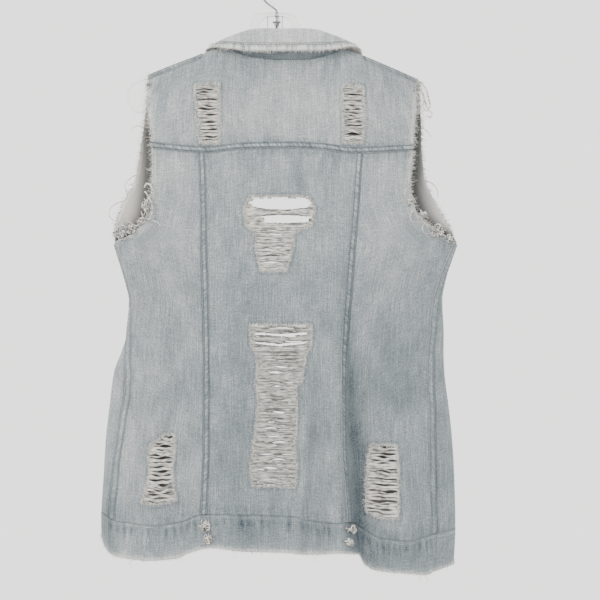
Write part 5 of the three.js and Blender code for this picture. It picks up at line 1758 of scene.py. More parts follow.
@dataclass
class Seams:
    """Felled seams, the bands down the front edges, and all stitching on them.

    Attributes:
        dresser: What hands the pieces in.
        pitch: Distance between stitches in millimetres.
        thread_width: Width of a stitch in millimetres.
        pieces: The strips and stitches by panel.
    """

    dresser: Dresser
    pitch: float = 3.1
    thread_width: float = 0.85
    pieces: dict[str, list[bpy.types.Object]] = field(default_factory=dict)

    def strips(self) -> list[Strip]:
        """Every strip, from the seams' own lines."""
        form = self.dresser.form
        seam = form.hem_seam_line

        def upper(x: Array, _: Array) -> Array:
            """Drop of the ends that meet the yoke seam."""
            return form.yoke_seam(x) + GAP / 2

        def lower(x: Array, at_back: Array) -> Array:
            """Drop of the ends that meet the hem band."""
            return np.where(at_back, seam[Side.BACK](x), seam[Side.FRONT](x)) - GAP

        found = []
        arms = form.armhole[Side.BACK]
        found.append(Strip(
            "yoke_seam",
            lambda drop: form.angle_at(arms[Hand.LEFT](drop), drop, Side.BACK),
            lambda drop: form.angle_at(arms[Hand.RIGHT](drop), drop, Side.BACK),
            lambda x, _: form.yoke_seam(x) - 10.6, lambda x, _: form.yoke_seam(x) - 0.4, upright=False))
        for hand in Hand:
            sign = hand.value
            found.append(Strip(
                f"princess_seam_{hand.word}",
                lambda drop, hand=hand: form.angle_at(form.princess[hand](drop), drop, Side.BACK),
                lambda drop, hand=hand, sign=sign: form.shift(
                    form.angle_at(form.princess[hand](drop), drop, Side.BACK), drop, sign * SEAM_WIDTH),
                upper, lower))
            found.append(Strip(
                f"side_seam_{hand.word}",
                lambda drop, hand=hand: form.seam_angle(hand, drop),
                lambda drop, hand=hand, sign=sign: form.shift(
                    form.seam_angle(hand, drop), drop, sign * SEAM_WIDTH),
                lambda x, _: np.full(np.shape(x), UNDERARM + 3.0), lower))
            found.append(Strip(
                f"shoulder_seam_{hand.word}", *self.shoulder_ends(hand),
                lambda x, _: form.shoulder(x) + 0.6, lambda x, _: form.shoulder(x) + 8.2, upright=False))
            found.append(Strip(
                f"front_band_{hand.word}",
                lambda drop, hand=hand: form.front_angle(form.front_edge[hand](drop), drop, hand),
                lambda drop, hand=hand, sign=sign: form.shift(
                    form.front_angle(form.front_edge[hand](drop), drop, hand), drop, sign * FRONT_BAND_WIDTH),
                lambda x, _: form.top(Side.FRONT)(x) + 0.4, lower, thickness=CLOTH, rows=(0.07, 0.93),
                finish="denim"))
        return found

    def shoulder_ends(self, hand: Hand) -> tuple[Edge, Edge]:
        """Ring angles of a shoulder seam's outer and inner ends."""
        form = self.dresser.form
        inner = NECK_LEFT + 30 if hand is Hand.LEFT else NECK_RIGHT - 26
        arm = form.armhole[Side.BACK][hand]
        return (lambda drop: form.angle_at(arm(drop), drop, Side.BACK),
                lambda drop: form.angle_at(np.full(np.shape(drop), float(inner)), drop, Side.BACK))

    def build(self) -> None:
        """Builds every strip with its stitches and hands them in."""
        for strip in self.strips():
            grid = self.grid_of(strip)
            sheet = Sheet.of(grid)
            x, drop = grid.points[..., 0], grid.drop
            at_back = np.sin(grid.angle) >= 0
            # Wash patches on the strips, with the back's painted fold shade among them.
            washed = np.where(at_back, wash_tone(WASH_AND_SHADE_BACK, x, drop), wash_tone(WASH_FRONT, x, drop))
            sheet.tone += washed * 0.8
            axis = 1 if strip.upright else 0
            share = np.linspace(0, 1, grid.points.shape[axis])
            share = share[None, :] if strip.upright else share[:, None]
            run = drop if strip.upright else x
            roping = ripple(run + 9 * share, len(strip.name), 3.1) + 0.5 * np.sin((run + 5 * share) * 1.05)
            edge_wear = bell(share, 0.09) + bell(1 - share, 0.09)
            sheet.fade += edge_wear * (0.10 + 0.2 * roping)
            sunk = sum(bell(share - row, 0.10) for row in strip.rows)
            ticks = 0.16 * roping * (1 - sunk)
            weight = SEAM_WEIGHTS.get(strip.name.rsplit("_", 1)[0], PLAIN_SEAM_WEIGHT)
            sheet.tone += (ticks + 0.36 * sunk - 0.02) * weight
            crown = 0.62 + 0.38 * np.sqrt(np.clip(1 - (2 * share - 1) ** 6, 0, 1)) - 0.16 * roping
            piece = sheet.wall(strip.name + "_cloth", strip.thickness * crown * np.ones_like(x),
                               self.dresser.finishes[strip.finish], SEAM_LIFT)
            self.dresser.hand_in(piece, strip.finish, strip.name)
            rows = self.rows_on(grid, strip, crown * np.ones_like(x))
            sewn = self.dresser.grow(
                rows, strip.name + "_stitches", self.dresser.trees.stitch, "stitch_thread",
                {"Pitch": self.pitch * MM, "Length": 0.86 * self.pitch * MM, "Width": self.thread_width * MM,
                 "Seed": len(strip.name)})
            self.pieces[strip.name] = [piece, sewn]

    def grid_of(self, strip: Strip) -> ClothGrid:
        """The strip's grid, finest across an upright seam and coarser on a front band."""
        fine = SEAM_WIDTH / 6 if strip.upright else 2.0
        pitch = 3.0 if strip.thickness == CLOTH else fine
        return PanelCut(strip.start, strip.end, strip.top, strip.bottom, pitch).grid(self.dresser.form)

    def rows_on(self, grid: ClothGrid, strip: Strip, crown: Array) -> Guide:
        """Guides of the stitching along a strip."""
        guide = Guide()
        top = grid.moved(SEAM_LIFT + strip.thickness * crown + 0.12)
        for share in strip.rows:
            if strip.upright:
                i = round(share * (top.shape[1] - 1))
                guide.add(top[1:-1, i], out=grid.normals[1:-1, i])
            else:
                j = round(share * (top.shape[0] - 1))
                guide.add(top[j, 1:-1], out=grid.normals[j, 1:-1])
        return guide


@dataclass
class HemSewing:
    """Stitching along the top of the hem band.

    Attributes:
        dresser: What hands the pieces in.
        below: How far under the band's top each row runs, in millimetres.
    """

    dresser: Dresser
    below: tuple[float, ...] = (2.6, 6.4)

    def build(self, body: VestBody) -> dict[str, bpy.types.Object]:
        """Sews each stretch of the band.

        Args:
            body: The vest's panels.

        Returns:
            The stitches by panel.
        """
        found = {}
        for name in ("hem_band_back", "hem_band_front_left", "hem_band_front_right"):
            grid = body.grids[name]
            guide = Guide()
            depth = np.linalg.norm(grid.points[1:, 0] - grid.points[:-1, 0], axis=-1).cumsum()
            for below in self.below:
                j = int(np.searchsorted(depth, below)) + 1
                guide.add(grid.moved(0.15)[j, 1:-1], out=grid.normals[j, 1:-1])
            found[name] = self.dresser.grow(
                guide, name + "_stitches", self.dresser.trees.stitch, "stitch_thread",
                {"Pitch": 0.0031, "Length": 0.0026, "Width": 0.0008, "Seed": 5})
        return found


def through(points: Array, t: Array) -> Array:
    """A smooth line through points, its parameter even from point to point.

    Args:
        points: The points.
        t: Places from 0 to 1.

    Returns:
        Points of the line.
    """
    last = len(points) - 1
    padded = np.concatenate([[2 * points[0] - points[1]], points, [2 * points[-1] - points[-2]]])
    place = np.clip(np.asarray(t, float), 0, 1) * last
    i = np.clip(np.floor(place).astype(int), 0, last - 1)
    w = (place - i)[:, None]
    p0, p1, p2, p3 = (padded[i + k] for k in range(4))

    def gap(a: Array, b: Array) -> Array:
        """Root of the distance between points."""
        return np.maximum(np.linalg.norm(b - a, axis=-1, keepdims=True), 1e-4) ** 0.5

    d0, d1, d2 = gap(p0, p1), gap(p1, p2), gap(p2, p3)
    t1 = ((p1 - p0) / d0 - (p2 - p0) / (d0 + d1) + (p2 - p1) / d1) * d1
    t2 = ((p2 - p1) / d1 - (p3 - p1) / (d1 + d2) + (p3 - p2) / d2) * d1
    return p1 + t1 * w + (-3 * p1 + 3 * p2 - 2 * t1 - t2) * w ** 2 + (2 * p1 - 2 * p2 + t1 + t2) * w ** 3


# Half of the collar, across from the neck's middle: its foot, the line that it rolls on and its edge
COLLAR = Table(("x", "side", "rollX", "rollY", "rollDrop", "edgeX", "edgeY", "edgeDrop"), (
    (0, 1, 0, 20, 80.5, 0, 31, 111), (24, 1, 24, 19.5, 80, 26, 30.5, 111),
    (46, 1, 47, 18, 81.5, 54, 28.5, 110), (66, 1, 66, 12, 87, 82, 23, 106),
    (80, 1, 78, 5, 91, 101, 11, 101.5), (88, 1, 83, -3, 93, 112, -3, 102),
    (84, -1, 79, -17, 107, 115, -22, 120), (74, -1, 69, -25, 131, 109, -31, 154),
    (60, -1, 56, -29, 154, 101, -36, 184), (44, -1, 40, -32, 171, 90, -38, 207),
))


@dataclass
class Collar:
    """The collar's stand and its fall with a frayed edge.

    Attributes:
        dresser: What hands the pieces in.
        lift: Height of the stand's foot over the neckline in millimetres, negative where it is tucked in.
        inset: How far its front ends stand in from the neckline.
        reach: How far the roll bulges out.
        rise: How far the roll rises.
        steps: Points along the collar.
        grids: The grids of the stand and the fall by name.
        pieces: The stand, and the fall with what is on it, by name.
    """

    dresser: Dresser
    lift: float = -3.5
    inset: float = 3.4
    reach: float = 9.0
    rise: float = 5.0
    steps: int = 190
    grids: dict[str, ClothGrid] = field(default_factory=dict)
    pieces: dict[str, list[bpy.types.Object]] = field(default_factory=dict)

    def lines(self) -> tuple[Array, Array, Array]:
        """The foot, the roll and the edge, from the left front end round to the right one."""
        form = self.dresser.form
        feet, rolls, edges = [], [], []
        rows = [(row, 1) for row in COLLAR.rows[:0:-1]] + [(row, -1) for row in COLLAR.rows]
        for (x, side, roll_x, roll_y, roll_drop, edge_x, edge_y, edge_drop), hand in rows:
            at = NECK_MIDDLE + hand * x
            face = Side(int(side))
            drop = float(form.neck[face](at)) - self.lift
            if x > NECK_HALF - 1:
                feet.append(np.array([at, 0.0, -drop]))
            else:
                inward = hand * self.inset if face is Side.FRONT else 0.0
                angle = form.angle_at(np.array(at - inward), np.array(drop), face)
                tuck = form.outward(angle, np.array(drop)) * np.array([1, 1, 0]) * (CLOTH + GAP)
                feet.append(form.skin(angle, np.array(drop)) - tuck)
            rolls.append(np.array([NECK_MIDDLE + hand * roll_x, roll_y, -roll_drop]))
            edges.append(np.array([NECK_MIDDLE + hand * edge_x, edge_y, -edge_drop]))
        t = np.linspace(0, 1, self.steps)
        return through(np.array(feet), t), through(np.array(rolls), t), through(np.array(edges), t)

    def facing_away(self, points: Array) -> ClothGrid:
        """A grid of points with directions that face away from the neck."""
        along = np.gradient(points, axis=1)
        down = np.gradient(points, axis=0)
        normals = unit(np.cross(down, along))
        j, i = points.shape[0] // 2, points.shape[1] // 2
        away = points[j, i] - np.array([NECK_MIDDLE, -8.0, points[j, i, 2]])
        normals *= np.sign(np.dot(away, normals[j, i]))
        blank = np.zeros(points.shape[:2])
        return ClothGrid(points, normals, blank, -points[..., 2])

    def build(self) -> None:
        """Builds the stand, the fall, the stitches and the fray."""
        foot, roll, edge = self.lines()
        v = np.linspace(0, 1, 16)[:, None, None]
        stand = self.facing_away((foot[None] * (1 - v) + roll[None] * v)[::-1])
        sheet = Sheet.of(stand)
        height = np.linspace(1, 0, 16)[:, None] * np.ones(self.steps)
        # Painted shade and unfaded cloth: the stand a little darker all over under the fall and unevenly
        # towards its foot, and darkest along its foot in the neckline as painted shade.
        sheet.tone += 0.04 + 0.10 * ripple(np.arange(self.steps) * 1.0, 4, 5.0)[None, :] * (1 - height)
        sheet.tone += 0.3 * bell(height, 0.12)
        stand_piece = self.dresser.hand_in(
            sheet.wall("collar_stand_cloth", CLOTH, self.dresser.finishes["denim_seam"]), "denim_seam",
            "collar_stand")
        climb = unit(roll - foot)
        top = roll + climb * (CLOTH + 2 * GAP)
        out = unit((roll - np.array([NECK_MIDDLE, -8.0, 0.0])) * np.array([1.0, 1.0, 0.0]))
        crown = top + out * self.reach + climb * self.rise
        start = top - out * CLOTH
        v = np.linspace(0, 1, 26)[:, None, None]
        t = np.arange(self.steps)
        points = start * (1 - v) ** 2 + crown * 2 * v * (1 - v) + edge * v ** 2
        wave = (0.7 * ripple(t, 8, 11.0) + 0.35 * ripple(t, 9, 4.0))[None, :, None] * v ** 2
        fall = self.facing_away(points)
        fall.points = fall.points + fall.normals * wave
        sheet = Sheet.of(fall)
        share = v[..., 0] * np.ones(self.steps)
        rise = np.linalg.norm(points - edge, axis=-1)
        tufts = np.random.default_rng(12).uniform(-1, 1, self.steps)[None, :] * smooth((8.8 - rise) / 3.5)
        sheet.fade += 0.55 * smooth((6.6 - rise) / 3.5) + 0.1 * bell(share - 0.25, 0.14)
        sheet.tone += -0.23 + 0.34 * bell(rise - 9.8, 1.0) + 0.42 * tufts
        fall_piece = self.dresser.hand_in(
            sheet.wall("collar_fall_cloth", CLOTH, self.dresser.finishes["denim"]), "denim", "collar_fall")
        rows = Guide()
        raised = fall.moved(0.12)
        for height in (10.2, 7.8):
            row = np.argmin(np.abs(rise - height), axis=0)[2:-2]
            rows.add(raised[row, t[2:-2]], out=fall.normals[row, t[2:-2]])
        sewn = self.dresser.grow(rows, "collar_stitches", self.dresser.trees.stitch, "stitch_thread",
                                 {"Pitch": 0.003, "Length": 0.0025, "Width": 0.0008, "Seed": 3})
        fringe = Guide()
        away = unit(fall.points[-1] - fall.points[-3])
        fringe.add(fall.points[-1] - fall.normals[-1] * 0.7 - away * 0.8, away=away)
        fringe.add(fall.points[-5] - fall.normals[-5] * 0.3, away=away + 0.5 * fall.normals[-5])
        frayed = self.dresser.grow(fringe, "collar_edge_fray", self.dresser.trees.fray, "fray", {
            "Spacing": 0.0005, "Shortest": 0.0018, "Longest": 0.0062, "Spread": 0.6, "Curl": 0.9,
            "Radius": 0.00034, "Seed": 31}, "collar_fray")
        self.grids = {"collar_stand": stand, "collar_fall": fall}
        self.pieces = {"collar_stand": [stand_piece], "collar_fall": [fall_piece, sewn, frayed]}


@dataclass
class Fray:
    """Frayed raw edges of the armholes and the hem.

    Attributes:
        dresser: What hands the pieces in.
        bury: How far the yarn ends start inside the cloth's edge in millimetres.
        spacing: Distance between yarn ends at the armholes in metres.
    """

    dresser: Dresser
    bury: float = 0.9
    spacing: float = 0.0006

    def edge_guide(self, stretches: list[tuple[Array, Array, Array]]) -> Guide:
        """A guide along raw edges.

        Args:
            stretches: For each, its edge points, the points next to them in the cloth and the directions.

        Returns:
            The guide, set a little into the cloth's wall.
        """
        guide = Guide()
        for edge, inner, out in stretches:
            away = unit(edge - inner)
            guide.add(edge - away * self.bury - out * CLOTH / 2, away=away)
            guide.add(edge - away * self.bury * 2, away=0.7 * out + 0.35 * away)
        return guide

    def column(self, grid: ClothGrid, at: int, rows: Array) -> tuple[Array, Array, Array]:
        """The edge points, inner points and directions of one upright edge of a grid."""
        inner = 2 if at == 0 else -3
        return grid.points[rows, at], grid.points[rows, inner], grid.normals[rows, at]

    def armhole(self, body: VestBody, hand: Hand) -> None:
        """Frays one armhole, round the back and the front.

        Args:
            body: The vest's panels.
            hand: The armhole's hand.
        """
        at = 0 if hand is Hand.LEFT else -1
        yoke, side = body.grids["back_yoke"], body.grids[f"back_side_panel_{hand.word}"]
        front = body.grids[f"front_panel_{hand.word}"]
        yoke_rows = np.arange(4, yoke.drop.shape[0])
        side_rows = np.flatnonzero(side.drop[:, 0] < UNDERARM - 12)
        front_rows = np.flatnonzero(front.drop[:, 0] < UNDERARM - 6)[4:]
        back = self.edge_guide([self.column(yoke, at, yoke_rows), self.column(side, 0, side_rows)])
        ahead = self.edge_guide([self.column(front, 0, front_rows)])
        for guide, part, seed in ((back, "back", 41), (ahead, "front", 43)):
            self.fringe(guide, f"armhole_{part}_{hand.word}_fray", f"armhole_fray_{part}_{hand.word}",
                        seed + hand.value, self.spacing, 0.0105, 1.1)

    def fringe(self, guide: Guide, name: str, node: str, seed: int, spacing: float, longest: float,
               curl: float) -> bpy.types.Object:
        """Runs the fray along a guide and hands it in.

        Args:
            guide: The raw edge.
            name: Name of the piece.
            node: The CAD node that it replaces.
            seed: Seed of its yarn ends.
            spacing: Distance between yarn ends in metres.
            longest: Length of the longest in metres.
            curl: How much they curl.

        Returns:
            The fringe.
        """
        return self.dresser.grow(guide, name, self.dresser.trees.fray, "fray", {
            "Spacing": spacing, "Shortest": 0.002, "Longest": longest, "Spread": 0.85, "Curl": curl,
            "Radius": 0.00034, "Seed": seed}, node)

    def build(self, body: VestBody) -> None:
        """Frays every raw edge.

        Args:
            body: The vest's panels.
        """
        for hand in Hand:
            self.armhole(body, hand)
        for part, seed in (("back", 51), ("front_left", 52), ("front_right", 53)):
            grid = body.grids[f"hem_band_{part}"]
            guide = self.edge_guide([(grid.points[-1], grid.points[-3], grid.normals[-1])])
            self.fringe(guide, f"hem_{part}_fray", f"hem_fray_{part}", seed, 0.00105, 0.0058, 0.9)


@dataclass
class TornWindows:
    """The loose weft in every rip and the short frayed ends round its rim.

    Attributes:
        dresser: What hands the pieces in.
        yarn_radius: Radius of a yarn in millimetres.
    """

    dresser: Dresser
    yarn_radius: float = 0.40

    def build(self) -> dict[str, list[bpy.types.Object]]:
        """Builds each rip's yarns and rim.

        Returns:
            The yarns and rims by the panel that they are in.
        """
        torn: dict[str, list[bpy.types.Object]] = {}
        dresser = self.dresser
        for rip in RIPS:
            yarns = dresser.grow(rip.ladder(dresser.form), rip.name + "_yarns", dresser.trees.yarn, "weft",
                                 {"Radius": self.yarn_radius * MM, "Sides": 4}, rip.name)
            rim = dresser.grow(rip.rim(dresser.form), rip.name + "_rim", dresser.trees.fray, "fray", {
                "Spacing": 0.0007, "Shortest": 0.002, "Longest": 0.0066, "Spread": 0.8, "Curl": 1.2,
                "Radius": 0.0004, "Seed": rip.seed})
            torn.setdefault(rip.panel, []).extend((yarns, rim))
        return torn


# Loose yarns at the armholes: hand, side, and the yarn's way as x, drop and height over the cloth
LOOSE_YARNS: tuple[tuple[Hand, Side, tuple[tuple[float, float, float], ...]], ...] = (
    (Hand.LEFT, Side.BACK, ((190, 306, 0), (186, 301, 3), (180, 303, 5), (177, 312, 6), (181, 321, 6),
                            (187, 327, 5), (189, 336, 4), (185, 345, 4))),
    (Hand.LEFT, Side.BACK, ((189, 312, 0), (184, 318, 5), (178, 330, 6), (177, 343, 6), (182, 352, 5),
                            (190, 350, 4), (193, 341, 4))),
    (Hand.LEFT, Side.BACK, ((190, 322, 0), (186, 331, 4), (187, 342, 5), (193, 350, 4), (201, 355, 3))),
    (Hand.LEFT, Side.BACK, ((184, 349, 0), (177, 354, 3), (170, 357, 3), (165, 362, 3))),
    (Hand.LEFT, Side.BACK, ((192, 356, 0), (199, 361, 3), (208, 358, 4), (214, 352, 4), (212, 345, 3))),
    (Hand.LEFT, Side.FRONT, ((222, 322, 0), (232, 326, 3), (240, 334, 4), (241, 345, 4), (236, 352, 3))),
    (Hand.LEFT, Side.FRONT, ((205, 284, 0), (215, 290, 3), (222, 300, 4), (220, 310, 3))),
    (Hand.LEFT, Side.FRONT, ((195, 215, 0), (204, 213, 3), (212, 217, 4))),
    (Hand.RIGHT, Side.BACK, ((-202, 153, 0), (-209, 156, 4), (-215, 165, 5), (-219, 177, 5),
                             (-221, 189, 4), (-216, 196, 4), (-211, 190, 4), (-212, 180, 4))),
    (Hand.RIGHT, Side.BACK, ((-204, 160, 0), (-211, 170, 3), (-214, 182, 4), (-219, 194, 4),
                             (-224, 199, 4), (-221, 205, 3), (-216, 201, 3))),
    (Hand.RIGHT, Side.BACK, ((-194, 300, 0), (-187, 306, 3), (-184, 316, 4), (-189, 324, 4), (-197, 322, 3))),
    (Hand.RIGHT, Side.BACK, ((-199, 337, 0), (-193, 343, 3), (-192, 352, 4), (-199, 357, 5),
                             (-207, 353, 4), (-208, 345, 3))),
    (Hand.RIGHT, Side.BACK, ((-214, 357, 0), (-209, 364, 3), (-213, 372, 4), (-222, 372, 4), (-226, 365, 3))),
    (Hand.RIGHT, Side.FRONT, ((-218, 292, 0), (-228, 297, 3), (-235, 306, 4), (-236, 317, 3))),
    (Hand.RIGHT, Side.FRONT, ((-211, 215, 0), (-219, 220, 3), (-226, 229, 3))),
)
# The same at the hem, all at the back
HEM_YARNS: tuple[tuple[tuple[float, float, float], ...], ...] = (
    ((-213, 860, 0), (-215, 868, 2), (-212, 873, 3)), ((-206, 858, 0), (-203, 866, 2), (-207, 871, 3)),
    ((131, 829, 0), (134, 835, 2), (130, 840, 3)), ((60, 823, 0), (57, 831, 2), (61, 836, 2)),
    ((-60, 829, 0), (-56, 837, 2), (-61, 841, 2)), ((205, 838, 0), (209, 845, 2), (204, 850, 2)),
)


# Lumps of matted yarn on worn rims and spots: hand, side, x, drop, reach and how many yarns
YARN_LUMPS = (
    (Hand.LEFT, Side.BACK, 225, 370, 10, 15), (Hand.LEFT, Side.BACK, 210, 365, 8, 10),
    (Hand.LEFT, Side.BACK, 196, 357, 6, 8), (Hand.LEFT, Side.BACK, 184, 333, 8, 8),
    (Hand.LEFT, Side.FRONT, 193, 272, 4, 4), (Hand.LEFT, Side.FRONT, 223, 352, 9, 9),
    (Hand.LEFT, Side.BACK, 183, 156, 4, 4), (Hand.RIGHT, Side.BACK, -212, 346, 7, 9),
    (Hand.RIGHT, Side.BACK, -233, 369, 9, 11), (Hand.RIGHT, Side.BACK, -195, 326, 6, 7),
    (Hand.RIGHT, Side.BACK, -249, 379, 6, 7), (Hand.RIGHT, Side.FRONT, -226, 350, 8, 8),
    (Hand.RIGHT, Side.BACK, -204, 160, 5, 6), (Hand.RIGHT, Side.BACK, -205, 176, 4, 4),
    (Hand.LEFT, Side.BACK, 102, 790, 8, 9), (Hand.LEFT, Side.BACK, 97, 808, 8, 9),
    (Hand.RIGHT, Side.BACK, -107, 796, 6, 8), (Hand.RIGHT, Side.BACK, -104, 812, 6, 7),
    (Hand.LEFT, Side.FRONT, 209, 497, 5, 6), (Hand.LEFT, Side.FRONT, 208, 530, 5, 5),
    (Hand.LEFT, Side.FRONT, 214, 562, 5, 5),
)


@dataclass
class LooseYarns:
    """Single yarns that have come out of the raw edges, and the knots of fluff near the underarms.

    Attributes:
        dresser: What hands the pieces in.
        radius: Radius of a yarn in millimetres.
    """

    dresser: Dresser
    radius: float = 0.42

    def place(self, side: Side, hand: Hand, way: Sequence[tuple[float, float, float]]) -> Array:
        """Points of one yarn in space.

        Args:
            side: The side that it hangs on.
            hand: The hand that it is nearest to.
            way: Its places as x, drop and height over the cloth.

        Returns:
            A smooth line of points.
        """
        form = self.dresser.form
        spots = np.array(way, float)
        if side is Side.BACK:
            angle = form.angle_at(spots[:, 0], spots[:, 1], side)
        else:
            angle = form.front_angle(spots[:, 0], spots[:, 1], hand)
        points = form.skin(angle, spots[:, 1])
        points[:, 0] = spots[:, 0]
        points += form.outward(angle, spots[:, 1]) * spots[:, 2:3]
        return through(points, np.linspace(0, 1, 5 * len(spots)))

    def tangle(self, random: np.random.Generator, x: float, drop: float, reach: float) -> Array:
        """The way of one yarn in a lump.

        Args:
            random: The lump's random numbers.
            x: Middle of the lump.
            drop: Drop of its middle.
            reach: How far it reaches.

        Returns:
            X, drop and height over the cloth of its points.
        """
        steps = random.normal(0, 1, (7, 3)).cumsum(axis=0)
        steps = (steps - steps.mean(axis=0)) / max(1e-3, float(np.abs(steps - steps.mean(axis=0)).max()))
        middle = np.array([x, drop, 0.3 * reach]) + random.normal(0, 0.3 * reach, 3) * (1, 1, 0.2)
        spots = middle + steps * reach * np.array([0.9, 0.9, 0.45])
        spots[:, 2] = np.maximum(spots[:, 2], 0.2)
        return spots

    def build(self) -> None:
        """Builds all loose yarns as one piece for each edge."""
        arms, hem = Guide(), Guide()
        for hand, side, way in LOOSE_YARNS:
            line = self.place(side, hand, way)
            thick = 3.4 if len(way) > 6 else 1.8
            arms.add(line, taper=np.linspace(thick, thick * 0.6, len(line)), shade=np.zeros(len(line)))
        for number, (hand, side, x, drop, reach, count) in enumerate(YARN_LUMPS):
            random = np.random.default_rng(300 + number)
            for _ in range(count):
                line = self.place(side, hand, self.tangle(random, x, drop, reach))
                arms.add(line, taper=np.full(len(line), random.uniform(1.3, 2.7)),
                         shade=np.full(len(line), 0.8 * random.uniform(0, 1) ** 3))
        for way in HEM_YARNS:
            line = self.place(Side.BACK, Hand.LEFT, way)
            hem.add(line, taper=np.linspace(1.0, 0.5, len(line)), shade=np.zeros(len(line)))
        for name, guide in (("armhole_loose_yarns", arms), ("hem_loose_yarns", hem)):
            self.dresser.grow(guide, name, self.dresser.trees.yarn, "weft",
                              {"Radius": self.radius * MM, "Sides": 4})


def lathe(profile: Sequence[tuple[float, float]], segments: int) -> tuple[Array, list[list[int]]]:
    """A turned shape round the Z axis, closed at both ends.

    Args:
        profile: Radius and height from one end to the other, starting and ending on the axis.
        segments: Steps round.

    Returns:
        Points in millimetres and faces.
    """
    points = [(0.0, 0.0, profile[0][1])]
    for radius, height in profile[1:-1]:
        for k in range(segments):
            turn = 2 * math.pi * k / segments
            points.append((radius * math.cos(turn), radius * math.sin(turn), height))
    points.append((0.0, 0.0, profile[-1][1]))
    faces = [[0, 1 + (k + 1) % segments, 1 + k] for k in range(segments)]
    for j in range(len(profile) - 3):
        a, b = 1 + j * segments, 1 + (j + 1) * segments
        faces += [[a + k, a + (k + 1) % segments, b + (k + 1) % segments, b + k] for k in range(segments)]
    last, ring = len(points) - 1, 1 + (len(profile) - 3) * segments
    faces += [[last, ring + k, ring + (k + 1) % segments] for k in range(segments)]
    return np.array(points), faces


def mixed_object(name: str, points: Array, faces: list[list[int]],
                 material: bpy.types.Material) -> bpy.types.Object:
    """A smooth piece from faces of different lengths.

    Args:
        name: Name of the piece.
        points: Points in metres.
        faces: Faces as lists of point numbers, facing outwards.
        material: Its finish.

    Returns:
        The piece.
    """
    mesh = bpy.data.meshes.new(name)
    mesh.from_pydata(points.tolist(), [], faces)
    mesh.shade_smooth()
    mesh.materials.append(material)
    mesh.update()
    return linked(name, mesh)


@dataclass
class Buttons:
    """Shank buttons down the left front band and the holes that they go through on the right.

    Attributes:
        dresser: What hands the pieces in.
        diameter: Diameter of a button in millimetres.
        height: Height over the band.
        segments: Steps round a button.
        hole_length: Length of a buttonhole.
    """

    dresser: Dresser
    diameter: float = 17.0
    height: float = 6.5
    segments: int = 40
    hole_length: float = 19.0

    def profile(self) -> list[tuple[float, float]]:
        """Radius and height of the button's outline, with a rolled rim and a dished face."""
        r = self.diameter / 2
        return [(0, 0), (3, 0), (3, 1.9), (r - 1.4, 2.1), (r - 0.35, 2.5), (r, 3.2), (r - 0.3, 4.3),
                (r - 1.1, 4.9), (r - 1.9, 4.7), (r - 2.5, 4.3), (r - 3.4, 4.6), (3.4, 5.6), (1.5, 6.2),
                (0, 6.3)]

    def build(self, body: VestBody) -> None:
        """Builds the buttons where the model has them, and the buttonholes opposite.

        Args:
            body: The vest's panels; not used.
        """
        form = self.dresser.form
        points, faces = lathe(self.profile(), self.segments)
        holes = Guide()
        for number in range(1, 7):
            node = f"button_{number}"
            low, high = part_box(node)
            centre = (Vector(low) + Vector(high)) / 2
            drop = np.array(-centre.z / MM)
            angle = form.front_angle(np.array(centre.x / MM), drop, Hand.LEFT)
            normal = Vector(form.outward(angle, drop).tolist())
            turn = normal.to_track_quat("Z", "Y").to_matrix()
            placed = (points - np.array([0, 0, self.height / 2])) * MM @ np.array(turn).T + np.array(centre)
            piece = mixed_object(f"{node}_shank", placed, faces, self.dresser.finishes["button_metal"])
            self.dresser.hand_in(piece, "button_metal", node)
            self.hole(holes, -centre.z / MM)
        self.dresser.grow(holes, "buttonhole_stitches", self.dresser.trees.stitch, "stitch_thread",
                          {"Pitch": 0.0009, "Length": 0.0011, "Width": 0.0028, "Seed": 2})

    def hole(self, guide: Guide, drop: float) -> None:
        """Adds the closely sewn rim of one buttonhole to the guide.

        Args:
            guide: The buttonholes so far.
            drop: Drop of the button opposite.
        """
        form = self.dresser.form
        t = np.linspace(0, 2 * math.pi, 41)
        middle = float(form.front_edge[Hand.RIGHT](drop)) - FRONT_BAND_WIDTH / 2
        x = middle + self.hole_length / 2 * np.cos(t)
        down = drop + 1.6 * np.sign(np.sin(t)) * np.abs(np.sin(t)) ** 0.5
        angle = form.front_angle(x, down, Hand.RIGHT)
        out = form.outward(angle, down)
        guide.add(form.skin(angle, down) + out * (SEAM_LIFT + CLOTH + 0.2), out=out)


# Outline of the hanger's clear body as x and drop, from its left end over the neck block and back.
# Where the drop is negative it is a distance below the shoulders' own line.
HANGER_OUTLINE = (
    (186, -3.4), (150, -3.4), (112, -3.4), (94, -5.4), (80, 115), (46, 102), (43, 77), (32, 53),
    (27, 50.4), (-13, 50.4), (-28, 54), (-37, 78), (-46, 102), (-92, 118), (-108, -5.9), (-124, -3.4),
    (-160, -3.4), (-190, -3.8), (-206, -5.4), (-215, 157), (-221, 167), (-221, 184), (-212, 197),
    (-202, 199), (-192, 191), (-178, 173), (-130, -27.4), (-80, -27.4), (-40, 112), (0, 108), (40, 111),
    (80, -27.4), (130, -27.4), (168, 167), (187, 189), (198, 197), (208, 195), (216, 183), (218, 168),
    (210, 154),
)
BLOCK_WINDOW = ((20, 56.4), (-18, 56.4), (-25, 84), (27, 84))


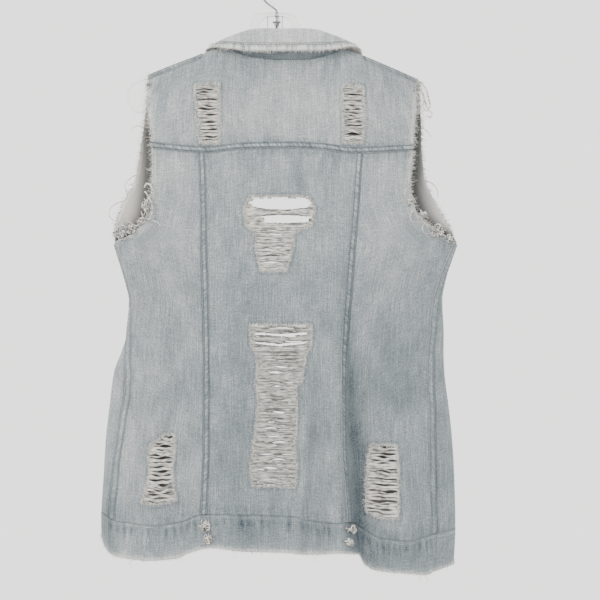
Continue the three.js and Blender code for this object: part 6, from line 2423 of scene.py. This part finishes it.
@dataclass
class Hanger:
    """The clear hanger with its ferrule and wire hook.

    Attributes:
        dresser: What hands the pieces in.
        plate: Thickness of the clear body in millimetres.
        bevel: How much its edges are rounded.
        wire: Thickness of the hook's wire.
        ring: Radius of the hook's ring at the wire's middle.
        bend_drop: Drop of the bend under the ring.
        ferrule_top: Drop of the ferrule's top.
        ribs: X of the ribs inside the neck block.
    """

    dresser: Dresser
    plate: float = 8.0
    bevel: float = 2.6
    wire: float = 2.9
    ring: float = 21.5
    bend_drop: float = 46.7
    ferrule_top: float = 49.3
    ribs: tuple[float, ...] = (13.1, -3.2, -8.3)

    def build(self) -> None:
        """Builds the clear body, the ferrule and the hook."""
        self.clear_body()
        self.ferrule()
        self.hook()

    def clear_body(self) -> None:
        """The moulded body, rounded along its edges, with ribs in the neck block."""
        line = self.dresser.form.shoulder
        outline = [(x, float(line(x)) - drop if drop < 0 else drop) for x, drop in HANGER_OUTLINE]
        rounded = self.cut_corners(self.cut_corners(outline))
        shape = bpy.data.curves.new("hanger_outline", "CURVE")
        shape.dimensions, shape.fill_mode = "2D", "BOTH"
        shape.extrude = (self.plate / 2 - self.bevel) * MM
        shape.bevel_depth, shape.bevel_resolution = self.bevel * MM, 3
        shape.offset = -self.bevel * MM
        for path in (rounded, self.cut_corners(list(BLOCK_WINDOW))):
            spline = shape.splines.new("POLY")
            spline.points.add(len(path) - 1)
            for point, (x, drop) in zip(spline.points, path):
                point.co = (x * MM, -drop * MM, 0, 1)
            spline.use_cyclic_u = True
        holder = linked("hanger_outline", shape)
        evaluated = holder.evaluated_get(bpy.context.evaluated_depsgraph_get())
        plate = bpy.data.meshes.new_from_object(evaluated)
        bpy.data.objects.remove(holder)
        points = np.array([tuple(v.co) for v in plate.vertices])
        points = np.stack([points[:, 0], -points[:, 2], points[:, 1]], axis=-1)
        faces = [list(face.vertices) for face in plate.polygons]
        points, faces = self.with_ribs(points, faces)
        piece = mixed_object("hanger_clear_body", points, faces, self.dresser.finishes["clear_plastic"])
        close_up(piece)
        # Marks the rounded edges for the painted grey that stands in for light bent through them.
        rim = piece.data.attributes.new("rim", "FLOAT", "POINT")
        for vertex, value in zip(piece.data.vertices, rim.data):
            value.value = 1.0 if abs(vertex.co.y) < (self.plate / 2 - 0.4 * self.bevel) * MM else 0.0
        self.dresser.hand_in(piece, "clear_plastic", "hanger_body")

    def cut_corners(self, path: list[tuple[float, float]]) -> list[tuple[float, float]]:
        """A closed path with every corner cut once."""
        count = len(path)
        found = []
        for i, (x, drop) in enumerate(path):
            next_x, next_drop = path[(i + 1) % count]
            found.append((x * 0.78 + next_x * 0.22, drop * 0.78 + next_drop * 0.22))
            found.append((x * 0.22 + next_x * 0.78, drop * 0.22 + next_drop * 0.78))
        return found

    def with_ribs(self, points: Array, faces: list[list[int]]) -> tuple[Array, list[list[int]]]:
        """Adds the thin upright ribs that cross the neck block's window."""
        found = [points]
        count = len(points)
        for x in self.ribs:
            low, high = np.array([x - 0.7, -2.4, -85.0]) * MM, np.array([x + 0.7, 2.4, -55.6]) * MM
            box = np.array([[(low, high)[(k >> a) & 1][a] for a in range(3)] for k in range(8)])
            found.append(box)
            faces = faces + [[count + k for k in face] for face in (
                (0, 2, 3, 1), (4, 5, 7, 6), (0, 1, 5, 4), (2, 6, 7, 3), (0, 4, 6, 2), (1, 3, 7, 5))]
            count += 8
        return np.concatenate(found), faces

    def ferrule(self) -> None:
        """The turned ferrule and bolt through the top of the neck block."""
        profile = [(0, 77.8), (1.6, 77.8), (1.8, 77.5), (1.8, 69), (3.2, 69), (3.4, 68.8), (3.4, 66.3),
                   (3.1, 66), (1.6, 66), (5.9, 65.2), (6.2, 64.9), (6.2, 63.8), (5.8, 63.5), (1.6, 62.9),
                   (1.6, 57.4), (2.6, 56), (2.6, 49.8), (2.2, 49.3), (0, 49.3)]
        points, faces = lathe([(r, -drop) for r, drop in profile], 32)
        piece = mixed_object("hook_ferrule_turned", points * MM, faces, self.dresser.finishes["steel"])
        self.dresser.hand_in(piece, "steel", "hook_ferrule")

    def hook(self) -> None:
        """The wire hook: a bend out of the stem, a straight rise and a round open ring."""
        centre = self.ring - self.wire / 2
        reach = self.bend_drop - centre
        slope = math.asin(self.ring / reach)
        straight = math.sqrt(reach ** 2 - self.ring ** 2)
        sweep = math.pi + slope + math.radians(15)
        stem = self.ferrule_top - GAP - self.bend_drop
        total = stem + straight + self.ring * sweep
        way = []
        for run in np.linspace(0, total, 150):
            along = run - stem
            if along < 0:
                way.append((0.0, 0.0, -self.bend_drop - stem + run))
            elif along < straight:
                way.append((along * math.sin(slope), 0.0, -self.bend_drop + along * math.cos(slope)))
            else:
                turn = (along - straight) / self.ring - slope
                way.append((self.ring * math.cos(turn), 0.0, self.ring * math.sin(turn) - centre))
        line = np.array(way)
        soft = line.copy()
        for _ in range(6):
            soft[1:-1] = (soft[:-2] + 2 * soft[1:-1] + soft[2:]) / 4
        guide = Guide()
        guide.add(soft, taper=np.ones(len(soft)))
        self.dresser.grow(guide, "hanger_hook_wire", self.dresser.trees.yarn, "steel",
                          {"Radius": self.wire / 2 * MM, "Sides": 20}, "hanger_hook", slot="steel")


def close_up(piece: bpy.types.Object) -> None:
    """Merges a piece's doubled points and turns its faces outwards.

    Args:
        piece: The piece, changed in place.
    """
    work = bmesh.new()
    work.from_mesh(piece.data)
    bmesh.ops.remove_doubles(work, verts=work.verts, dist=1e-6)
    bmesh.ops.recalc_face_normals(work, faces=work.faces)
    work.to_mesh(piece.data)
    work.free()


@dataclass(frozen=True)
class Studio:
    """Floor, light and camera.

    Attributes:
        distance: Distance of the camera from the hanger's plane in metres.
        aim_x: X that the camera looks along.
        aim_z: Height that it looks along.
        lens: Focal length in millimetres on a 36 mm sensor.
        floor_z: Height of the floor.
    """

    distance: float = 1.83
    aim_x: float = -0.034
    aim_z: float = -0.468
    lens: float = 75.52
    floor_z: float = -1.9

    def build(self) -> None:
        """Builds the whole studio."""
        self.camera()
        self.floor()
        self.light()

    def camera(self) -> None:
        """A camera square to the vest's back, as in the photograph."""
        lens = bpy.data.cameras.new("camera")
        lens.lens, lens.sensor_width = self.lens, 36.0
        camera = linked("camera", lens)
        camera.location = (self.aim_x, self.distance, self.aim_z)
        camera.rotation_euler = (math.pi / 2, 0, math.pi)
        bpy.context.scene.camera = camera

    def floor(self) -> None:
        """A plain pale floor, well below the hem."""
        reach = 4.0
        corners = [(-reach, -reach), (reach, -reach), (reach, reach), (-reach, reach)]
        mesh = bpy.data.meshes.new("floor")
        mesh.from_pydata([(x, y, self.floor_z) for x, y in corners], [], [(0, 1, 2, 3)])
        mesh.materials.append(FloorFinish().material())
        floor = linked("floor", mesh)

    def light(self) -> None:
        """Soft daylight all round, with broad lamps from the upper right and left."""
        world = bpy.data.worlds.new("studio")
        bpy.context.scene.world = world
        world.use_nodes = True
        sky = world.node_tree.nodes["Background"]
        sky.inputs["Color"].default_value = (0.95, 0.932, 0.922, 1)
        sky.inputs["Strength"].default_value = 2.3
        for name, place, size, power, colour in (
                ("key", (1.8, 1.7, 1.0), 1.0, 95.0, (1.0, 0.94, 0.88)),
                ("fill", (-1.8, 1.5, 0.0), 1.8, 14.0, (0.86, 0.93, 1.0)),
                ("front_fill", (-0.4, -2.0, 0.8), 2.0, 60.0, (1.0, 1.0, 1.0))):
            lamp = bpy.data.lights.new(name, "AREA")
            lamp.energy, lamp.size, lamp.color = power, size, colour
            holder = linked(name, lamp)
            holder.location = place
            aim = Vector((0, 0, -0.45)) - Vector(place)
            holder.rotation_euler = aim.to_track_quat("-Z", "Y").to_euler()


def finishes() -> dict[str, bpy.types.Material]:
    """All materials by name."""
    return {
        "denim": DenimFinish("denim_washed").material(),
        "denim_seam": DenimFinish("denim_seam_washed", depth=0.05, streaks=0.8).material(),
        "weft": ThreadFinish("weft_yarn").material(),
        "fray": ThreadFinish("frayed_yarn", dinge=0.47, patches=(330, 330, 330)).material(),
        "stitch_thread": ThreadFinish("stitch_thread", (0.15, 0.17, 0.18), (0.05, 0.065, 0.075)).material(),
        "clear_plastic": ClearPlasticFinish().material(),
        "steel": MetalFinish("plated_steel", (0.30, 0.30, 0.31), (0.13, 0.13, 0.14), 0.34).material(),
        "button_metal": MetalFinish("aged_brass", (0.30, 0.26, 0.205), (0.11, 0.092, 0.072), 0.42).material(),
    }


def declare_sheets(body: VestBody, seams: Seams, collar: Collar, hem: dict[str, bpy.types.Object],
                   torn: dict[str, list[bpy.types.Object]]) -> None:
    """Works out the flat size and area of every sheet of cloth, and keeps none of it.

    Args:
        body: The panels.
        seams: The strips that lie on them.
        collar: The stand, the fall and what is on the fall.
        hem: The hem band's stitches.
        torn: The yarns in each panel's rips.
    """
    on_panel = {
        "back_yoke": ["yoke_seam", "shoulder_seam_left", "shoulder_seam_right"],
        "back_centre_panel": ["princess_seam_left", "princess_seam_right"],
        "back_side_panel_left": ["side_seam_left"], "back_side_panel_right": ["side_seam_right"],
        "front_panel_left": ["front_band_left"], "front_panel_right": ["front_band_right"],
    }
    for name, piece in body.pieces.items():
        sewn_on = [part for strip in on_panel.get(name, []) for part in seams.pieces[strip]]
        sewn_on += ([hem[name]] if name in hem else []) + torn.get(name, [])
        carrier = "hanger_body" if name in ("back_yoke", "front_panel_left", "front_panel_right") \
            else body.pieces["back_yoke"].name
        grid = body.grids[name]
        width, length = grid.flat_size()
        round(min(grid.area(), 0.999 * width * length), 5)
    for name, carrier in (("collar_stand", "back_yoke"), ("collar_fall", "collar_stand")):
        width, length = collar.grids[name].flat_size()
        under = body.pieces[carrier] if carrier in body.pieces else collar.pieces[carrier][0]
        round(min(collar.grids[name].area(), 0.999 * width * length), 5)


def main() -> None:
    """Builds the vest, the hanger and the studio in order."""
    logging.basicConfig(level=logging.INFO, format="%(name)s %(message)s")
    Studio().build()
    dresser = Dresser(VestForm(), finishes(), Trees())
    body = VestBody(dresser)
    body.build()
    seams = Seams(dresser)
    seams.build()
    hem = HemSewing(dresser).build(body)
    collar = Collar(dresser)
    collar.build()
    torn = TornWindows(dresser).build()
    Fray(dresser).build(body)
    LooseYarns(dresser).build()
    Buttons(dresser).build(body)
    Hanger(dresser).build()
    declare_sheets(body, seams, collar, hem, torn)
    LOG.info("%d triangles in all", dresser.triangles)


if __name__ == "__main__":
    main()
